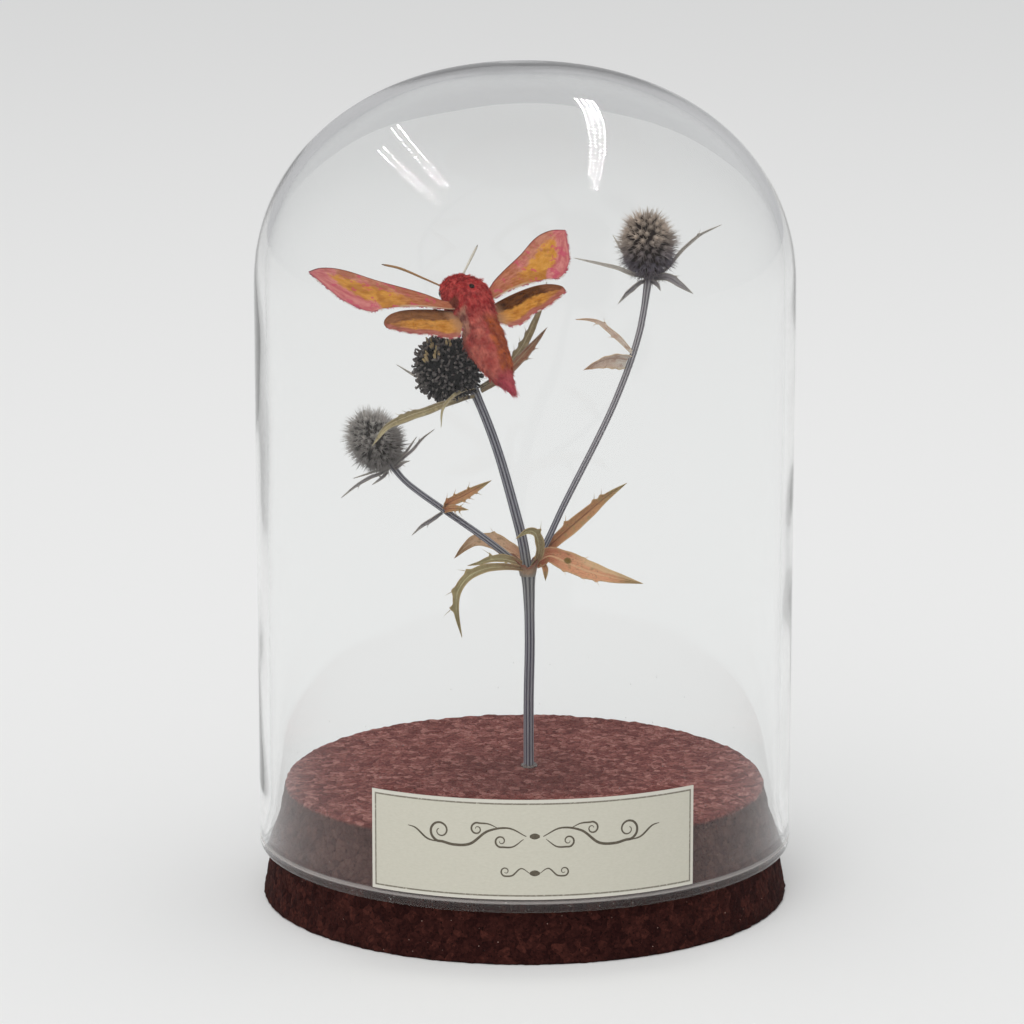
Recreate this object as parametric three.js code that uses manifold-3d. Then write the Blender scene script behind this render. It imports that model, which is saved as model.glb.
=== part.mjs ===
// A pink hawk moth set on a dried eryngo sprig, on a cork base under a glass dome.
// Millimetres, +Z up. The origin is the centre of the cork's underside and the front is -Y.

import * as THREE from 'three';
import { mergeVertices } from 'three/addons/utils/BufferGeometryUtils.js';
import Module from 'manifold-3d';

const wasm = await Module();
wasm.setup();

// ---------------------------------------------------------------- driving dimensions

const clearance = 0.3; // air between neighbouring pieces
const facets = 40; // flats around the cork, the dome and the label
const stemSides = 9;
const stemSteps = 10; // rings along a stem
const limbSides = 6; // around a leg or an antenna
const limbSteps = 5;
const bodySides = 12;

const cork = { bottomRadius: 49.6, topRadius: 44.95, height: 22.4, edge: 0.6, holeDepth: 8 };

const dome = {
  radius: 50,
  wall: 2.1,
  rim: 9.7, // height of the rim where the tapered cork stops it
  rimEdge: 0.5,
  shoulder: 115.7, // height where the straight side ends
  top: 156.5,
  sideFullness: 2.14, // 2 is an ellipse, more is squarer
  crownFullness: 2.1,
};

const label = { from: -33.1, to: 36.9, bottom: 12.5, height: 18.4, lift: 0.12, paper: 0.25 };

const bead = { height: 0.9, outerRadius: 2.3 };

const mainStem = {
  radius: 1.0,
  collarRadius: 1.55,
  route: [
    [0.8, 5.2, 14.7], [0.8, 5.2, 22.4], [0.8, 4.6, 35.3], [1, 4, 47.1], [0.8, 3.5, 57.8],
    [0.6, 3.2, 61.8],
  ],
};

const branches = {
  middle_stem: {
    radii: [0.95, 0.85],
    route: [
      [0.5, 3.2, 61.2], [-0.4, 2.8, 66.7], [-2, 2, 73.2], [-4.7, 0.8, 83], [-6.9, 0, 89.5],
      [-9.7, -0.95, 96.5],
    ],
  },
  left_stem: {
    radii: [0.62, 0.57],
    route: [
      [0, 2.9, 61.2], [-7, 2, 67], [-11.5, 2.2, 70.2], [-15.2, 2.6, 72.7], [-22.4, 3.5, 78],
      [-25.1, 4, 81.2],
    ],
  },
  right_stem: {
    radii: [0.62, 0.68],
    route: [
      [1.2, 3.4, 60.9], [4.1, 4, 66.1], [7.2, 4.6, 72.7], [17.1, 5.6, 93], [21.5, 6, 105.9],
      [23.2, 6, 116.7],
    ],
  },
};

const flowerHeads = {
  left_flower_head: {
    centre: [-28, 4, 85.6], apex: [-0.55, 0, 0.84], along: 4.9, across: 3.9, spine: 1.2, detail: 2,
    colour: 0x77777a,
  },
  middle_flower_head: {
    centre: [-14.6, -2, 100.6], apex: [-0.72, -0.15, 0.68], along: 6.1, across: 6.1, spine: 1.1, detail: 3,
    colour: 0x3d3d45,
  },
  right_flower_head: {
    centre: [22.8, 6, 122.5], apex: [-0.1, 0, 1], along: 5.3, across: 4.4, spine: 1.2, detail: 2,
    colour: 0x8d8580,
  },
};
const baldAngle = 32; // degrees around a flower head's base that carry no florets

// A blade is a leaf, a bract or a spine: a route, its half width, and the way its face looks.
const nodeLeaves = {
  leaf_right_lower: {
    route: [
      [2.2, 2.6, 62.4], [4.6, 2, 63.9], [7.4, 0.8, 63.1], [11.6, 0, 61.5], [16.4, -1, 60.4],
      [22, -1.5, 59.4],
    ],
    halfWidth: 1.95, widest: 0.4, base: 0.55, facing: [0.1, -0.85, 0.5],
    teeth: [[0.33, 1, 0.7], [0.55, 1, 0.6]], colour: 0xd08a63,
  },
  leaf_right_upper: {
    route: [
      [2.3, 4.2, 62.9], [4.3, 4.9, 64.9], [8, 5, 68.3], [12, 5.5, 71.7], [15.6, 6, 74.6],
      [19.2, 6.5, 76.9],
    ],
    halfWidth: 1.3, widest: 0.45, base: 0.45, facing: [0.5, -0.8, 0.3],
    teeth: [[0.4, -1, 1], [0.7, -1, 0.9], [0.77, -1, 0.9]], colour: 0xb88a5f,
  },
  leaf_front_curled: {
    route: [
      [1.4, 2.3, 62], [2.5, 0.4, 64.6], [2.5, -0.8, 67.2], [1.7, -1.8, 69.3], [0.4, -2.4, 69.6],
      [-1.6, -2.8, 68.3],
    ],
    halfWidth: 1.15, widest: 0.4, base: 0.5, facing: [0.5, -0.8, 0.2],
    teeth: [[0.66, 1, 1.4]], colour: 0xa89560,
  },
  leaf_left_back: {
    route: [
      [0, 4.4, 62.2], [-3.3, 6.6, 63.9], [-6.2, 8, 65.3], [-9.4, 8.5, 65.3], [-11.3, 9, 64],
      [-13.3, 9, 62],
    ],
    halfWidth: 1.7, widest: 0.35, base: 0.7, facing: [0.1, -0.8, 0.6],
    teeth: [[0.5, 1, 0.7]], colour: 0xcf9a70,
  },
  leaf_left_forked: {
    route: [
      [-0.5, 2.3, 62.2], [-4, -0.3, 63.8], [-6.6, -1.6, 63.9], [-8.6, -2.2, 63.4], [-10.6, -2.6, 63.1],
    ],
    halfWidth: 0.85, widest: 0.35, base: 0.7, facing: [0.1, -0.75, 0.65],
    teeth: [[0.62, 1, 1.3], [0.4, -1, 0.6]], colour: 0xa9946b,
  },
  leaf_left_drooping: {
    route: [
      [-0.4, 2, 61.4], [-4, -1.6, 62.6], [-7.6, -3.6, 62.6], [-10.6, -5, 61.3], [-12.4, -5.8, 58.8],
      [-12.7, -6, 55.6], [-11.7, -5.5, 50],
    ],
    halfWidth: 1.05, widest: 0.4, base: 0.6, facing: [-0.2, -0.85, 0.45],
    teeth: [[0.5, 1, 1.2], [0.66, 1, 1.2], [0.78, 1, 1.7]], colour: 0xa8935f,
  },
  leaf_small_spike: {
    route: [[3.3, 2.1, 62.5], [3.8, 1.7, 61.7], [3.9, 1.4, 60.7], [3.9, 1.2, 59.5]],
    halfWidth: 0.5, widest: 0.4, base: 0.8, facing: [0.1, -1, 0.2], teeth: [], colour: 0xae7a56,
  },
};

const branchLeaves = {
  left_stem_leaf_upper: {
    route: [[-15, 2.3, 73.2], [-14.3, 1.2, 74.2], [-11.9, 0.2, 75.6], [-9.2, -0.4, 77.2], [-6.3, -1, 78.9]],
    halfWidth: 0.85, widest: 0.45, base: 0.6, facing: [0.4, -0.8, 0.3],
    teeth: [[0.35, -1, 0.7], [0.55, 1, 0.7], [0.62, -1, 0.7]], colour: 0xb08a4a,
  },
  left_stem_leaf_lower: {
    route: [[-14.9, 2, 72.6], [-14.1, 0.8, 73.2], [-12.6, -0.3, 73.5], [-10.6, -1, 73.4]],
    halfWidth: 0.65, widest: 0.4, base: 0.6, facing: [0, -0.9, 0.4],
    teeth: [[0.6, 1, 0.7]], colour: 0xb08a4a,
  },
  left_stem_leaf_down: {
    route: [[-15.5, 2.4, 72.2], [-17.6, 1.2, 71], [-19.2, 0.6, 70.1], [-21, 0, 68.4]],
    halfWidth: 0.4, widest: 0.4, base: 0.7, facing: [0.2, -0.9, -0.2], teeth: [], colour: 0x8b8b86,
  },
  right_stem_leaf_lower: {
    route: [[18.4, 5.4, 99.2], [17, 4.6, 100.6], [14.9, 3.8, 100.9], [12.9, 3, 100.2], [11, 2.4, 99.2]],
    halfWidth: 1.25, widest: 0.4, base: 0.5, facing: [0, -0.85, -0.5], teeth: [], colour: 0xc7a88c,
  },
  right_stem_leaf_upper: {
    route: [
      [19.4, 5.5, 102.4], [17.5, 5, 104.6], [15.7, 4.5, 106.2], [13.7, 4, 107.8], [11.5, 3.5, 108.4],
      [9.5, 3, 108.5],
    ],
    halfWidth: 0.6, widest: 0.35, base: 0.5, facing: [0.3, -0.9, 0.3],
    teeth: [[0.4, -1, 0.5], [0.6, 1, 0.5]], colour: 0xb88a78,
  },
};

const bracts = {
  right_head_bract_left: {
    route: [[22.2, 5.2, 116.2], [19.8, 4.2, 116.9], [17.4, 3.5, 118], [13.9, 3, 119], [9.1, 2.5, 120.2]],
    halfWidth: 0.7, widest: 0.4, base: 0.6, facing: [0, -0.85, 0.5], teeth: [], colour: 0xa09a92,
  },
  right_head_bract_up: {
    route: [[24.3, 6.6, 116.4], [26.5, 7.2, 117.6], [29, 8, 120.6], [32.6, 9, 123.6], [36.7, 9.5, 125.4]],
    halfWidth: 0.65, widest: 0.5, base: 0.6, facing: [0.5, -0.8, -0.3],
    teeth: [[0.7, -1, 0.5]], colour: 0xa59a90,
  },
  right_head_bract_down: {
    route: [[24, 5.2, 115.9], [25.6, 4.4, 116.3], [26.9, 3.8, 116.2], [28.9, 3, 115], [31.2, 2.4, 113.5]],
    halfWidth: 0.95, widest: 0.45, base: 0.5, facing: [0.1, -0.9, 0.3],
    teeth: [[0.5, -1, 0.4]], colour: 0x8d8d92,
  },
  right_head_bract_low: {
    route: [[22.3, 5, 115.5], [21.2, 4, 115.3], [20.1, 3, 114.6], [18.9, 2, 113.7], [17.3, 1, 111.8]],
    halfWidth: 0.65, widest: 0.5, base: 0.6, facing: [0.3, -0.9, -0.2], teeth: [], colour: 0x8a8d94,
  },
  right_head_bract_back: {
    route: [[22.8, 6.6, 115.9], [20.6, 10.4, 117.2], [18.6, 12.8, 119.6], [16.6, 14.6, 122.8]],
    halfWidth: 0.4, widest: 0.4, base: 0.6, facing: [0, -0.6, 0.8], teeth: [], colour: 0xa09a92,
  },
  right_head_bract_small: {
    route: [[23.6, 5.1, 115.4], [24.2, 4.3, 115.3], [24.8, 3.8, 114.7], [25.2, 3.6, 113.9]],
    halfWidth: 0.4, widest: 0.4, base: 0.7, facing: [0, -1, 0], teeth: [], colour: 0x6f6f78,
  },
  left_head_bract_long: {
    route: [[-25.5, 3.3, 80.2], [-27.2, 2.4, 79.5], [-28.9, 1.5, 79], [-31.8, 0, 77.5], [-34.2, -1, 75.7]],
    halfWidth: 0.4, widest: 0.4, base: 0.7, facing: [0, -0.9, 0.4], teeth: [], colour: 0x77777c,
  },
  left_head_bract_right: {
    route: [[-24.6, 3.2, 80.8], [-23.2, 2.4, 82.3], [-21, 1.7, 84.3], [-19.1, 1.3, 86.5], [-16.9, 1, 88.2]],
    halfWidth: 0.4, widest: 0.45, base: 0.7, facing: [0.4, -0.9, -0.2], teeth: [], colour: 0x77777c,
  },
  left_head_bract_back: {
    route: [[-24.3, 4.8, 81.2], [-23, 6, 82.2], [-22, 7, 83.3], [-20.4, 8.2, 85.4]],
    halfWidth: 0.3, widest: 0.4, base: 0.8, facing: [0.3, -0.9, 0], teeth: [], colour: 0x85858a,
  },
  left_head_bract_front: {
    route: [[-24.3, 3.2, 80.4], [-23.4, 2.2, 81.2], [-22.6, 1.3, 81.9], [-21.4, 0.5, 82.4]],
    halfWidth: 0.35, widest: 0.4, base: 0.8, facing: [0.2, -0.9, 0.3], teeth: [], colour: 0x66666b,
  },
  left_head_bract_low: {
    route: [[-25.7, 3.2, 79.7], [-26.4, 2.1, 79.1], [-27.2, 1.3, 78.6], [-28.4, 0.6, 77.9]],
    halfWidth: 0.35, widest: 0.4, base: 0.8, facing: [0, -0.9, 0.4], teeth: [], colour: 0x85807d,
  },
  left_head_bract_thin: {
    route: [[-25.4, 4.4, 80.2], [-28.2, 6, 79.3], [-30, 7, 78.5], [-32.4, 7.8, 77.6]],
    halfWidth: 0.25, widest: 0.4, base: 0.8, facing: [0, -0.9, 0.4], teeth: [], colour: 0x9a9a9c,
  },
  middle_head_bract_long: {
    route: [
      [-9.4, -2.2, 95.2], [-11.6, -4, 95.1], [-14.6, -5.6, 94.5], [-17.9, -6.5, 93.4], [-21.6, -7, 92.2],
      [-25.2, -7, 90.4], [-28.1, -6, 86.5],
    ],
    halfWidth: 1.15, widest: 0.6, base: 0.4, facing: [-0.1, -0.9, -0.3],
    teeth: [[0.55, 1, 0.5], [0.66, 1, 0.5]], colour: 0xa3936c,
  },
  middle_head_bract_hooked: {
    route: [
      [-9.4, -2.4, 96.4], [-11, -4.9, 96.6], [-13.2, -7.4, 95.9], [-15, -9, 93.9], [-15.4, -9.2, 90.6],
    ],
    halfWidth: 0.6, widest: 0.4, base: 0.6, facing: [-0.5, -0.8, 0.3], teeth: [], colour: 0xa38a72,
  },
  middle_head_bract_back: {
    route: [[-10.4, 0.4, 96], [-12, 3.6, 95], [-15.8, 6.6, 95.5], [-20, 7.2, 96.9], [-23.9, 7, 99.3]],
    halfWidth: 0.4, widest: 0.4, base: 0.6, facing: [0, -0.8, 0.6], teeth: [], colour: 0x9a968c,
  },
  middle_head_bract_right: {
    route: [
      [-8.4, 0, 96.3], [-5.6, 2.2, 97.7], [-3.2, 4.2, 99.8], [-0.7, 6.5, 102.7], [1.4, 9, 106.4],
      [3, 12, 109.6], [4.2, 16, 113.6],
    ],
    halfWidth: 1.15, widest: 0.45, base: 0.5, facing: [0.4, -0.85, 0],
    teeth: [[0.5, -1, 0.7], [0.62, -1, 0.6]], colour: 0xa09078,
  },
  middle_head_bract_short: {
    route: [[-8.2, -1.4, 95.9], [-5.4, -0.7, 97.7], [-2.8, 0.6, 99.8], [0.6, 2, 103.2], [4.1, 3, 107]],
    halfWidth: 1, widest: 0.6, base: 0.4, facing: [0.5, -0.85, 0], teeth: [], colour: 0xa07860,
  },
};

// The moth's own axes: x to its right, y to its head, z out of its back.
const moth = {
  centre: [-10.27, -2.5, 112.45], // middle of the thorax
  right: [0.826, 0.563, 0.012],
  forward: [-0.446, 0.641, 0.625],
  colour: 0xb5474b,
};

// Each row is a section of the body: place along it, height, half width.
const bodySections = [
  [6.9, -1.6, 1.2], [6, -1.5, 2.2], [4.7, -1.2, 2.85], [3.4, -0.7, 3.2], [2, -0.2, 3.75], [0.4, 0, 3.9],
  [-1.4, -0.1, 3.6], [-3, -0.4, 3.15], [-5, -1, 3.05], [-7, -1.6, 3.2], [-9.3, -2, 3.2], [-11.6, -2.2, 2.9],
  [-13.6, -2.4, 2.5], [-15.6, -2.6, 1.9], [-17.6, -2.6, 1.25], [-19.4, -2.5, 0.65],
];
const bodyNose = [7.3, -1.6];
const bodyTail = [-21.4, -2.4];
const eye = { place: [2.35, 4.9, -2.3], radius: 1.05 };

const wingThickness = 0.36;
const wingOutlines = {
  forewing: [
    [-1.9, 0.2], [0.9, 0.6], [3.7, 2.6], [6.7, 4.4], [12.2, 7.4], [16.9, 10.4], [19.4, 11.4],
    [22, 11.7], [24.4, 11.1], [24.1, 10.4], [23.1, 8], [21, 3.7], [18.8, 1.3], [16.7, 0.1], [14.2, 0.4],
    [10.4, 0.3], [5.3, -0.4], [0.5, -1.7], [-1.9, -1.9],
  ],
  hindwing: [
    [-1.5, 1.2], [0.1, 1.9], [5.7, 3.2], [11, 3.5], [13.7, 2.8], [15.4, 1.4], [15.5, 0.1],
    [13.3, -0.9], [10.7, -2], [7.2, -2.7], [4.4, -4], [2, -3.9], [-0.3, -1.4], [-1.5, -1.2],
  ],
};
// Where each wing starts, and how it is turned about its own length, its side and its face, in degrees.
const wings = {
  left_forewing: { outline: 'forewing', side: -1, root: [-4.4, 0.5, 0.3], turn: [0, 0, 0] },
  right_forewing: { outline: 'forewing', side: 1, root: [3.37, 0.97, 0.92], turn: [-0.6, -5.4, 1.5] },
  left_hindwing: { outline: 'hindwing', side: -1, root: [-3.7, -3, -0.6], turn: [0, 0, 0] },
  right_hindwing: { outline: 'hindwing', side: 1, root: [3.7, -3, -0.6], turn: [-5.8, -15.7, -1.5] },
};

const antennae = {
  left_antenna: [[-1.3, 6.2, -2.1], [-4.6, 8.9, -1.9], [-8.2, 12.1, -2], [-11.2, 13.8, -2.3]],
  right_antenna: [[1.3, 6.2, -2.1], [4.6, 9.4, -1.9], [8, 12.8, -2], [11.2, 16, -2.3]],
};
const antennaRadii = [0.16, 0.26, 0.24, 0.1];

// Hip on the thorax, knee in the air, and the direction from the flower head's middle to the foot.
const legs = {
  left_front_leg: { hip: [-1.6, 3, -3.4], knee: [-4.4, 3, -4.2], foot: [-0.15, 0.8, 0.55] },
  right_front_leg: { hip: [1.6, 3, -3.4], knee: [4.2, 3.2, -4.6], foot: [0.4, 0.8, 0.45] },
  left_middle_leg: { hip: [-2, 0.8, -3.2], knee: [-6.4, 0.6, -3], foot: [-0.45, 0.6, 0.65] },
  right_middle_leg: { hip: [2, 0.8, -3.2], knee: [5.6, 0.2, -4.6], foot: [0.7, 0.55, 0.5] },
  left_hind_leg: { hip: [-2, -1.2, -3], knee: [-6.2, -1.6, -2.6], foot: [-0.3, 0.4, 0.85] },
  right_hind_leg: { hip: [2, -1.2, -3], knee: [5.4, -3.4, -4.6], foot: [0.88, 0.25, 0.42] },
};
const legRadii = [0.42, 0.36, 0.24, 0.14];

// ---------------------------------------------------------------- shared shape tools

const object = new THREE.Group();
const obstacles = []; // solids already placed, each grown by the clearance

const vector = (place) => new THREE.Vector3(...place);
const radians = (degrees) => THREE.MathUtils.degToRad(degrees);
const smoothCurve = (route) => new THREE.CatmullRomCurve3(route.map(vector), false, 'centripetal');

// A value between 0 and 1 that differs for each whole number.
function scatter(index) {
  const wave = Math.sin(index * 12.9898 + 4.1) * 43758.5453;
  return wave - Math.floor(wave);
}

function meshOf(geometry, colour, roughness) {
  const material = new THREE.MeshStandardMaterial({ color: colour, roughness, metalness: 0 });
  return new THREE.Mesh(geometry, material);
}

// Joins rings of equal length into a closed skin, each end closed by a point.
function loft(rings, startPoint, endPoint) {
  const sides = rings[0].length;
  const places = [startPoint, ...rings.flat(), endPoint];
  const last = places.length - 1;
  const faces = [];
  for (let side = 0; side < sides; side++) {
    const next = (side + 1) % sides;
    faces.push(0, 1 + next, 1 + side);
    for (let ring = 0; ring < rings.length - 1; ring++) {
      const here = 1 + ring * sides;
      const there = here + sides;
      faces.push(here + side, here + next, there + next);
      faces.push(here + side, there + next, there + side);
    }
    const lastRing = 1 + (rings.length - 1) * sides;
    faces.push(last, lastRing + side, lastRing + next);
  }
  const geometry = new THREE.BufferGeometry();
  const numbers = places.flatMap((place) => place.toArray());
  geometry.setAttribute('position', new THREE.Float32BufferAttribute(numbers, 3));
  geometry.setIndex(faces);
  return geometry;
}

function centreOf(ring) {
  const centre = new THREE.Vector3();
  for (const place of ring) centre.add(place);
  return centre.divideScalar(ring.length);
}

// A round tube along a route, its radius running through the given values.
function taperedTube(route, radii, steps, sides, grow) {
  const curve = smoothCurve(route);
  const frames = curve.computeFrenetFrames(steps);
  const rings = [];
  for (let step = 0; step <= steps; step++) {
    const along = (step / steps) * (radii.length - 1);
    const from = Math.min(Math.floor(along), radii.length - 2);
    const radius = THREE.MathUtils.lerp(radii[from], radii[from + 1], along - from) + grow;
    const centre = curve.getPointAt(step / steps);
    const overrun = { 0: -grow, [steps]: grow }[step] ?? 0;
    centre.addScaledVector(frames.tangents[step], overrun);
    const ring = [];
    for (let side = 0; side < sides; side++) {
      const angle = (side / sides) * Math.PI * 2;
      const place = centre.clone();
      place.addScaledVector(frames.normals[step], Math.cos(angle) * radius);
      place.addScaledVector(frames.binormals[step], Math.sin(angle) * radius);
      ring.push(place);
    }
    rings.push(ring);
  }
  return loft(rings, centreOf(rings[0]), centreOf(rings[steps]));
}

function solidOf(geometry, matrix = new THREE.Matrix4()) {
  const bare = geometry.clone().applyMatrix4(matrix);
  bare.deleteAttribute('normal');
  bare.deleteAttribute('uv');
  const merged = mergeVertices(bare, 1e-4);
  const corners = merged.index.array;
  const triVerts = [];
  for (let first = 0; first < corners.length; first += 3) {
    const [a, b, c] = [corners[first], corners[first + 1], corners[first + 2]];
    if (a !== b && b !== c && c !== a) triVerts.push(a, b, c);
  }
  return new wasm.Manifold(new wasm.Mesh({
    numProp: 3,
    vertProperties: Float32Array.from(merged.attributes.position.array),
    triVerts: Uint32Array.from(triVerts),
  }));
}

function geometryOf(solid) {
  const mesh = solid.getMesh();
  const geometry = new THREE.BufferGeometry();
  geometry.setAttribute('position', new THREE.BufferAttribute(Float32Array.from(mesh.vertProperties), 3));
  geometry.setIndex(new THREE.BufferAttribute(Uint32Array.from(mesh.triVerts), 1));
  return geometry;
}

function largestPart(solid) {
  const parts = solid.decompose();
  return parts.reduce((best, part) => (part.volume() > best.volume() ? part : best));
}

// Names a mesh, trims it back from what is already placed, and adds its grown form to the obstacles.
function place(name, mesh, grownGeometry, parent = object) {
  mesh.name = name;
  parent.add(mesh);
  mesh.updateWorldMatrix(true, false);
  const whole = solidOf(mesh.geometry, mesh.matrixWorld);
  const trimmed = obstacles.reduce((solid, obstacle) => solid.subtract(obstacle), whole);
  if (trimmed.volume() < whole.volume() - 1e-6) {
    mesh.geometry = geometryOf(largestPart(trimmed));
    mesh.geometry.applyMatrix4(mesh.matrixWorld.clone().invert());
  }
  obstacles.push(solidOf(grownGeometry, mesh.matrixWorld));
}

// ---------------------------------------------------------------- holder

function turnedSolid(profile) {
  const points = profile.map(([radius, height]) => new THREE.Vector2(radius, height));
  return new THREE.LatheGeometry(points, facets).rotateX(Math.PI / 2);
}

function corkBase() {
  const holeRadius = mainStem.radius + clearance;
  const floor = cork.height - cork.holeDepth;
  const slope = (cork.bottomRadius - cork.topRadius) / cork.height;
  const stemHole = new THREE.CylinderGeometry(holeRadius, holeRadius, 2 * cork.holeDepth, stemSides);
  stemHole.rotateX(Math.PI / 2);
  stemHole.translate(mainStem.route[0][0], mainStem.route[0][1], floor + cork.holeDepth);
  const block = turnedSolid([
    [0, 0],
    [cork.bottomRadius - cork.edge, 0],
    [cork.bottomRadius - cork.edge * slope, cork.edge],
    [cork.topRadius + cork.edge * slope, cork.height - cork.edge],
    [cork.topRadius - cork.edge, cork.height],
    [0, cork.height],
  ]);
  return geometryOf(solidOf(block).subtract(solidOf(stemHole)));
}

function crownPoint(radius, height, share) {
  const angle = share * Math.PI / 2;
  return [
    radius * Math.cos(angle) ** (2 / dome.sideFullness),
    dome.shoulder + height * Math.sin(angle) ** (2 / dome.crownFullness),
  ];
}

function glassDome() {
  const crownSteps = 8;
  const crownHeight = dome.top - dome.shoulder;
  const innerRadius = dome.radius - dome.wall;
  const profile = [
    [innerRadius + dome.rimEdge, dome.rim],
    [dome.radius - dome.rimEdge, dome.rim],
    [dome.radius, dome.rim + dome.rimEdge],
  ];
  for (let step = 0; step < crownSteps; step++) {
    profile.push(crownPoint(dome.radius, crownHeight, step / crownSteps));
  }
  profile.push([0, dome.top], [0, dome.top - dome.wall]);
  for (let step = crownSteps - 1; step >= 0; step--) {
    profile.push(crownPoint(innerRadius, crownHeight - dome.wall, step / crownSteps));
  }
  profile.push([innerRadius, dome.rim + dome.rimEdge], [innerRadius + dome.rimEdge, dome.rim]);
  return turnedSolid(profile);
}

// The label lies on the dome's flats, so its radius follows them.
function labelCard() {
  const flat = 360 / facets;
  const onFlats = (degrees, radius) => {
    const fromMiddle = degrees - (Math.floor(degrees / flat) + 0.5) * flat;
    const reach = radius * Math.cos(radians(flat / 2)) / Math.cos(radians(fromMiddle));
    return new THREE.Vector2(reach * Math.sin(radians(degrees)), -reach * Math.cos(radians(degrees)));
  };
  const angles = [label.from];
  for (let angle = Math.ceil(label.from / flat) * flat; angle < label.to; angle += flat) angles.push(angle);
  angles.push(label.to);
  const inner = dome.radius + label.lift;
  const outline = angles.map((angle) => onFlats(angle, inner + label.paper));
  outline.push(...angles.reverse().map((angle) => onFlats(angle, inner)));
  const shape = new THREE.Shape(outline);
  const card = new THREE.ExtrudeGeometry(shape, { depth: label.height, bevelEnabled: false });
  return card.translate(0, 0, label.bottom);
}

function glueBead() {
  const innerRadius = mainStem.radius + clearance;
  const profile = [[innerRadius, 0], [bead.outerRadius, 0], [bead.outerRadius * 0.85, bead.height * 0.6],
    [innerRadius * 1.15, bead.height], [innerRadius, bead.height], [innerRadius, 0]];
  const points = profile.map(([radius, height]) => new THREE.Vector2(radius, height));
  return new THREE.LatheGeometry(points, 12).rotateX(Math.PI / 2);
}

// ---------------------------------------------------------------- plant

function mainStemShape(grow) {
  const { radius, collarRadius } = mainStem;
  const radii = [radius, radius, radius, radius, radius, collarRadius];
  return taperedTube(mainStem.route, radii, stemSteps, stemSides, grow);
}

// A ball of short pyramids, one on each facet, with a bald patch round its base.
function flowerHead({ along, across, spine, detail }, grow) {
  const facetsOfBall = new THREE.IcosahedronGeometry(1, detail).attributes.position;
  const size = new THREE.Vector3(across + grow, across + grow, along + grow);
  const places = [];
  for (let first = 0; first < facetsOfBall.count; first += 3) {
    const cornerAt = (step) => new THREE.Vector3().fromBufferAttribute(facetsOfBall, first + step);
    const corners = [0, 1, 2].map(cornerAt);
    const outward = centreOf(corners).normalize();
    const [a, b, c] = corners.map((corner) => corner.multiply(size).toArray());
    if (outward.angleTo(new THREE.Vector3(0, 0, -1)) < radians(baldAngle)) {
      places.push(a, b, c);
    } else {
      const length = 1 + (spine * (0.6 + 0.4 * scatter(first))) / across;
      const tip = outward.multiply(size).multiplyScalar(length).toArray();
      places.push(a, b, tip, b, c, tip, c, a, tip);
    }
  }
  const geometry = new THREE.BufferGeometry();
  geometry.setAttribute('position', new THREE.Float32BufferAttribute(places.flat(), 3));
  return geometry;
}

// Half the width of a blade, from its base at 0 to its tip at 1.
function bladeHalfWidth({ halfWidth, widest, base }, share) {
  const rise = Math.sin(Math.min(share / widest, 1) * Math.PI / 2);
  const fall = Math.max((share - widest) / (1 - widest), 0);
  return halfWidth * (base + (1 - base) * rise) * (1 - fall ** 1.5);
}

// A thin pointed blade, keeled along its middle, with teeth given as place, side and reach.
function blade(spec, grow) {
  const steps = 8;
  const toothHalf = 0.03;
  const thickness = 0.24; // half of it, at the keel
  const keel = 0.25; // share of the half width that the edges rise
  const curve = smoothCurve(spec.route);
  const plain = Array.from({ length: steps }, (unused, step) => ({ share: step / steps, tooth: [0, 0] }));
  const toothed = spec.teeth.flatMap(([share, side, reach]) => [
    { share: share - toothHalf, tooth: [0, 0] },
    { share, tooth: side < 0 ? [reach, 0] : [0, reach] },
    { share: share + toothHalf, tooth: [0, 0] },
  ]);
  const farFrom = (share) => (station) => Math.abs(station.share - share) > toothHalf;
  const kept = plain.filter(({ share }) => toothed.every(farFrom(share)));
  const stations = [...kept, ...toothed].sort((a, b) => a.share - b.share);
  const rings = stations.map(({ share, tooth }) => {
    const tangent = curve.getTangentAt(share);
    const centre = curve.getPointAt(share).addScaledVector(tangent, share === 0 ? -grow : 0);
    const side = new THREE.Vector3().crossVectors(vector(spec.facing), tangent).normalize();
    const face = new THREE.Vector3().crossVectors(tangent, side);
    const half = bladeHalfWidth(spec, share);
    const rise = half * keel;
    const corner = (across, up) => centre.clone().addScaledVector(side, across).addScaledVector(face, up);
    const lips = grow > 0 ? [-grow, grow] : [0]; // the edges are sharp, and blunt when grown
    return [
      ...lips.map((lip) => corner(half + tooth[0] + grow, rise + lip)),
      corner(0, thickness + grow),
      ...lips.map((lip) => corner(-half - tooth[1] - grow, rise - lip)),
      corner(0, -thickness - grow),
    ];
  });
  const overrun = curve.getTangentAt(1).multiplyScalar(grow);
  return loft(rings, centreOf(rings[0]), curve.getPointAt(1).add(overrun));
}

function placeBlades(specs) {
  for (const [name, spec] of Object.entries(specs)) {
    place(name, meshOf(blade(spec, 0), spec.colour, 0.8), blade(spec, clearance));
  }
}

// ---------------------------------------------------------------- moth

const mothGroup = new THREE.Group();
{
  const right = vector(moth.right).normalize();
  const up = new THREE.Vector3().crossVectors(right, vector(moth.forward)).normalize();
  const forward = new THREE.Vector3().crossVectors(up, right);
  mothGroup.setRotationFromMatrix(new THREE.Matrix4().makeBasis(right, forward, up));
  mothGroup.position.copy(vector(moth.centre));
  object.add(mothGroup);
  mothGroup.updateWorldMatrix(true, false);
}

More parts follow.
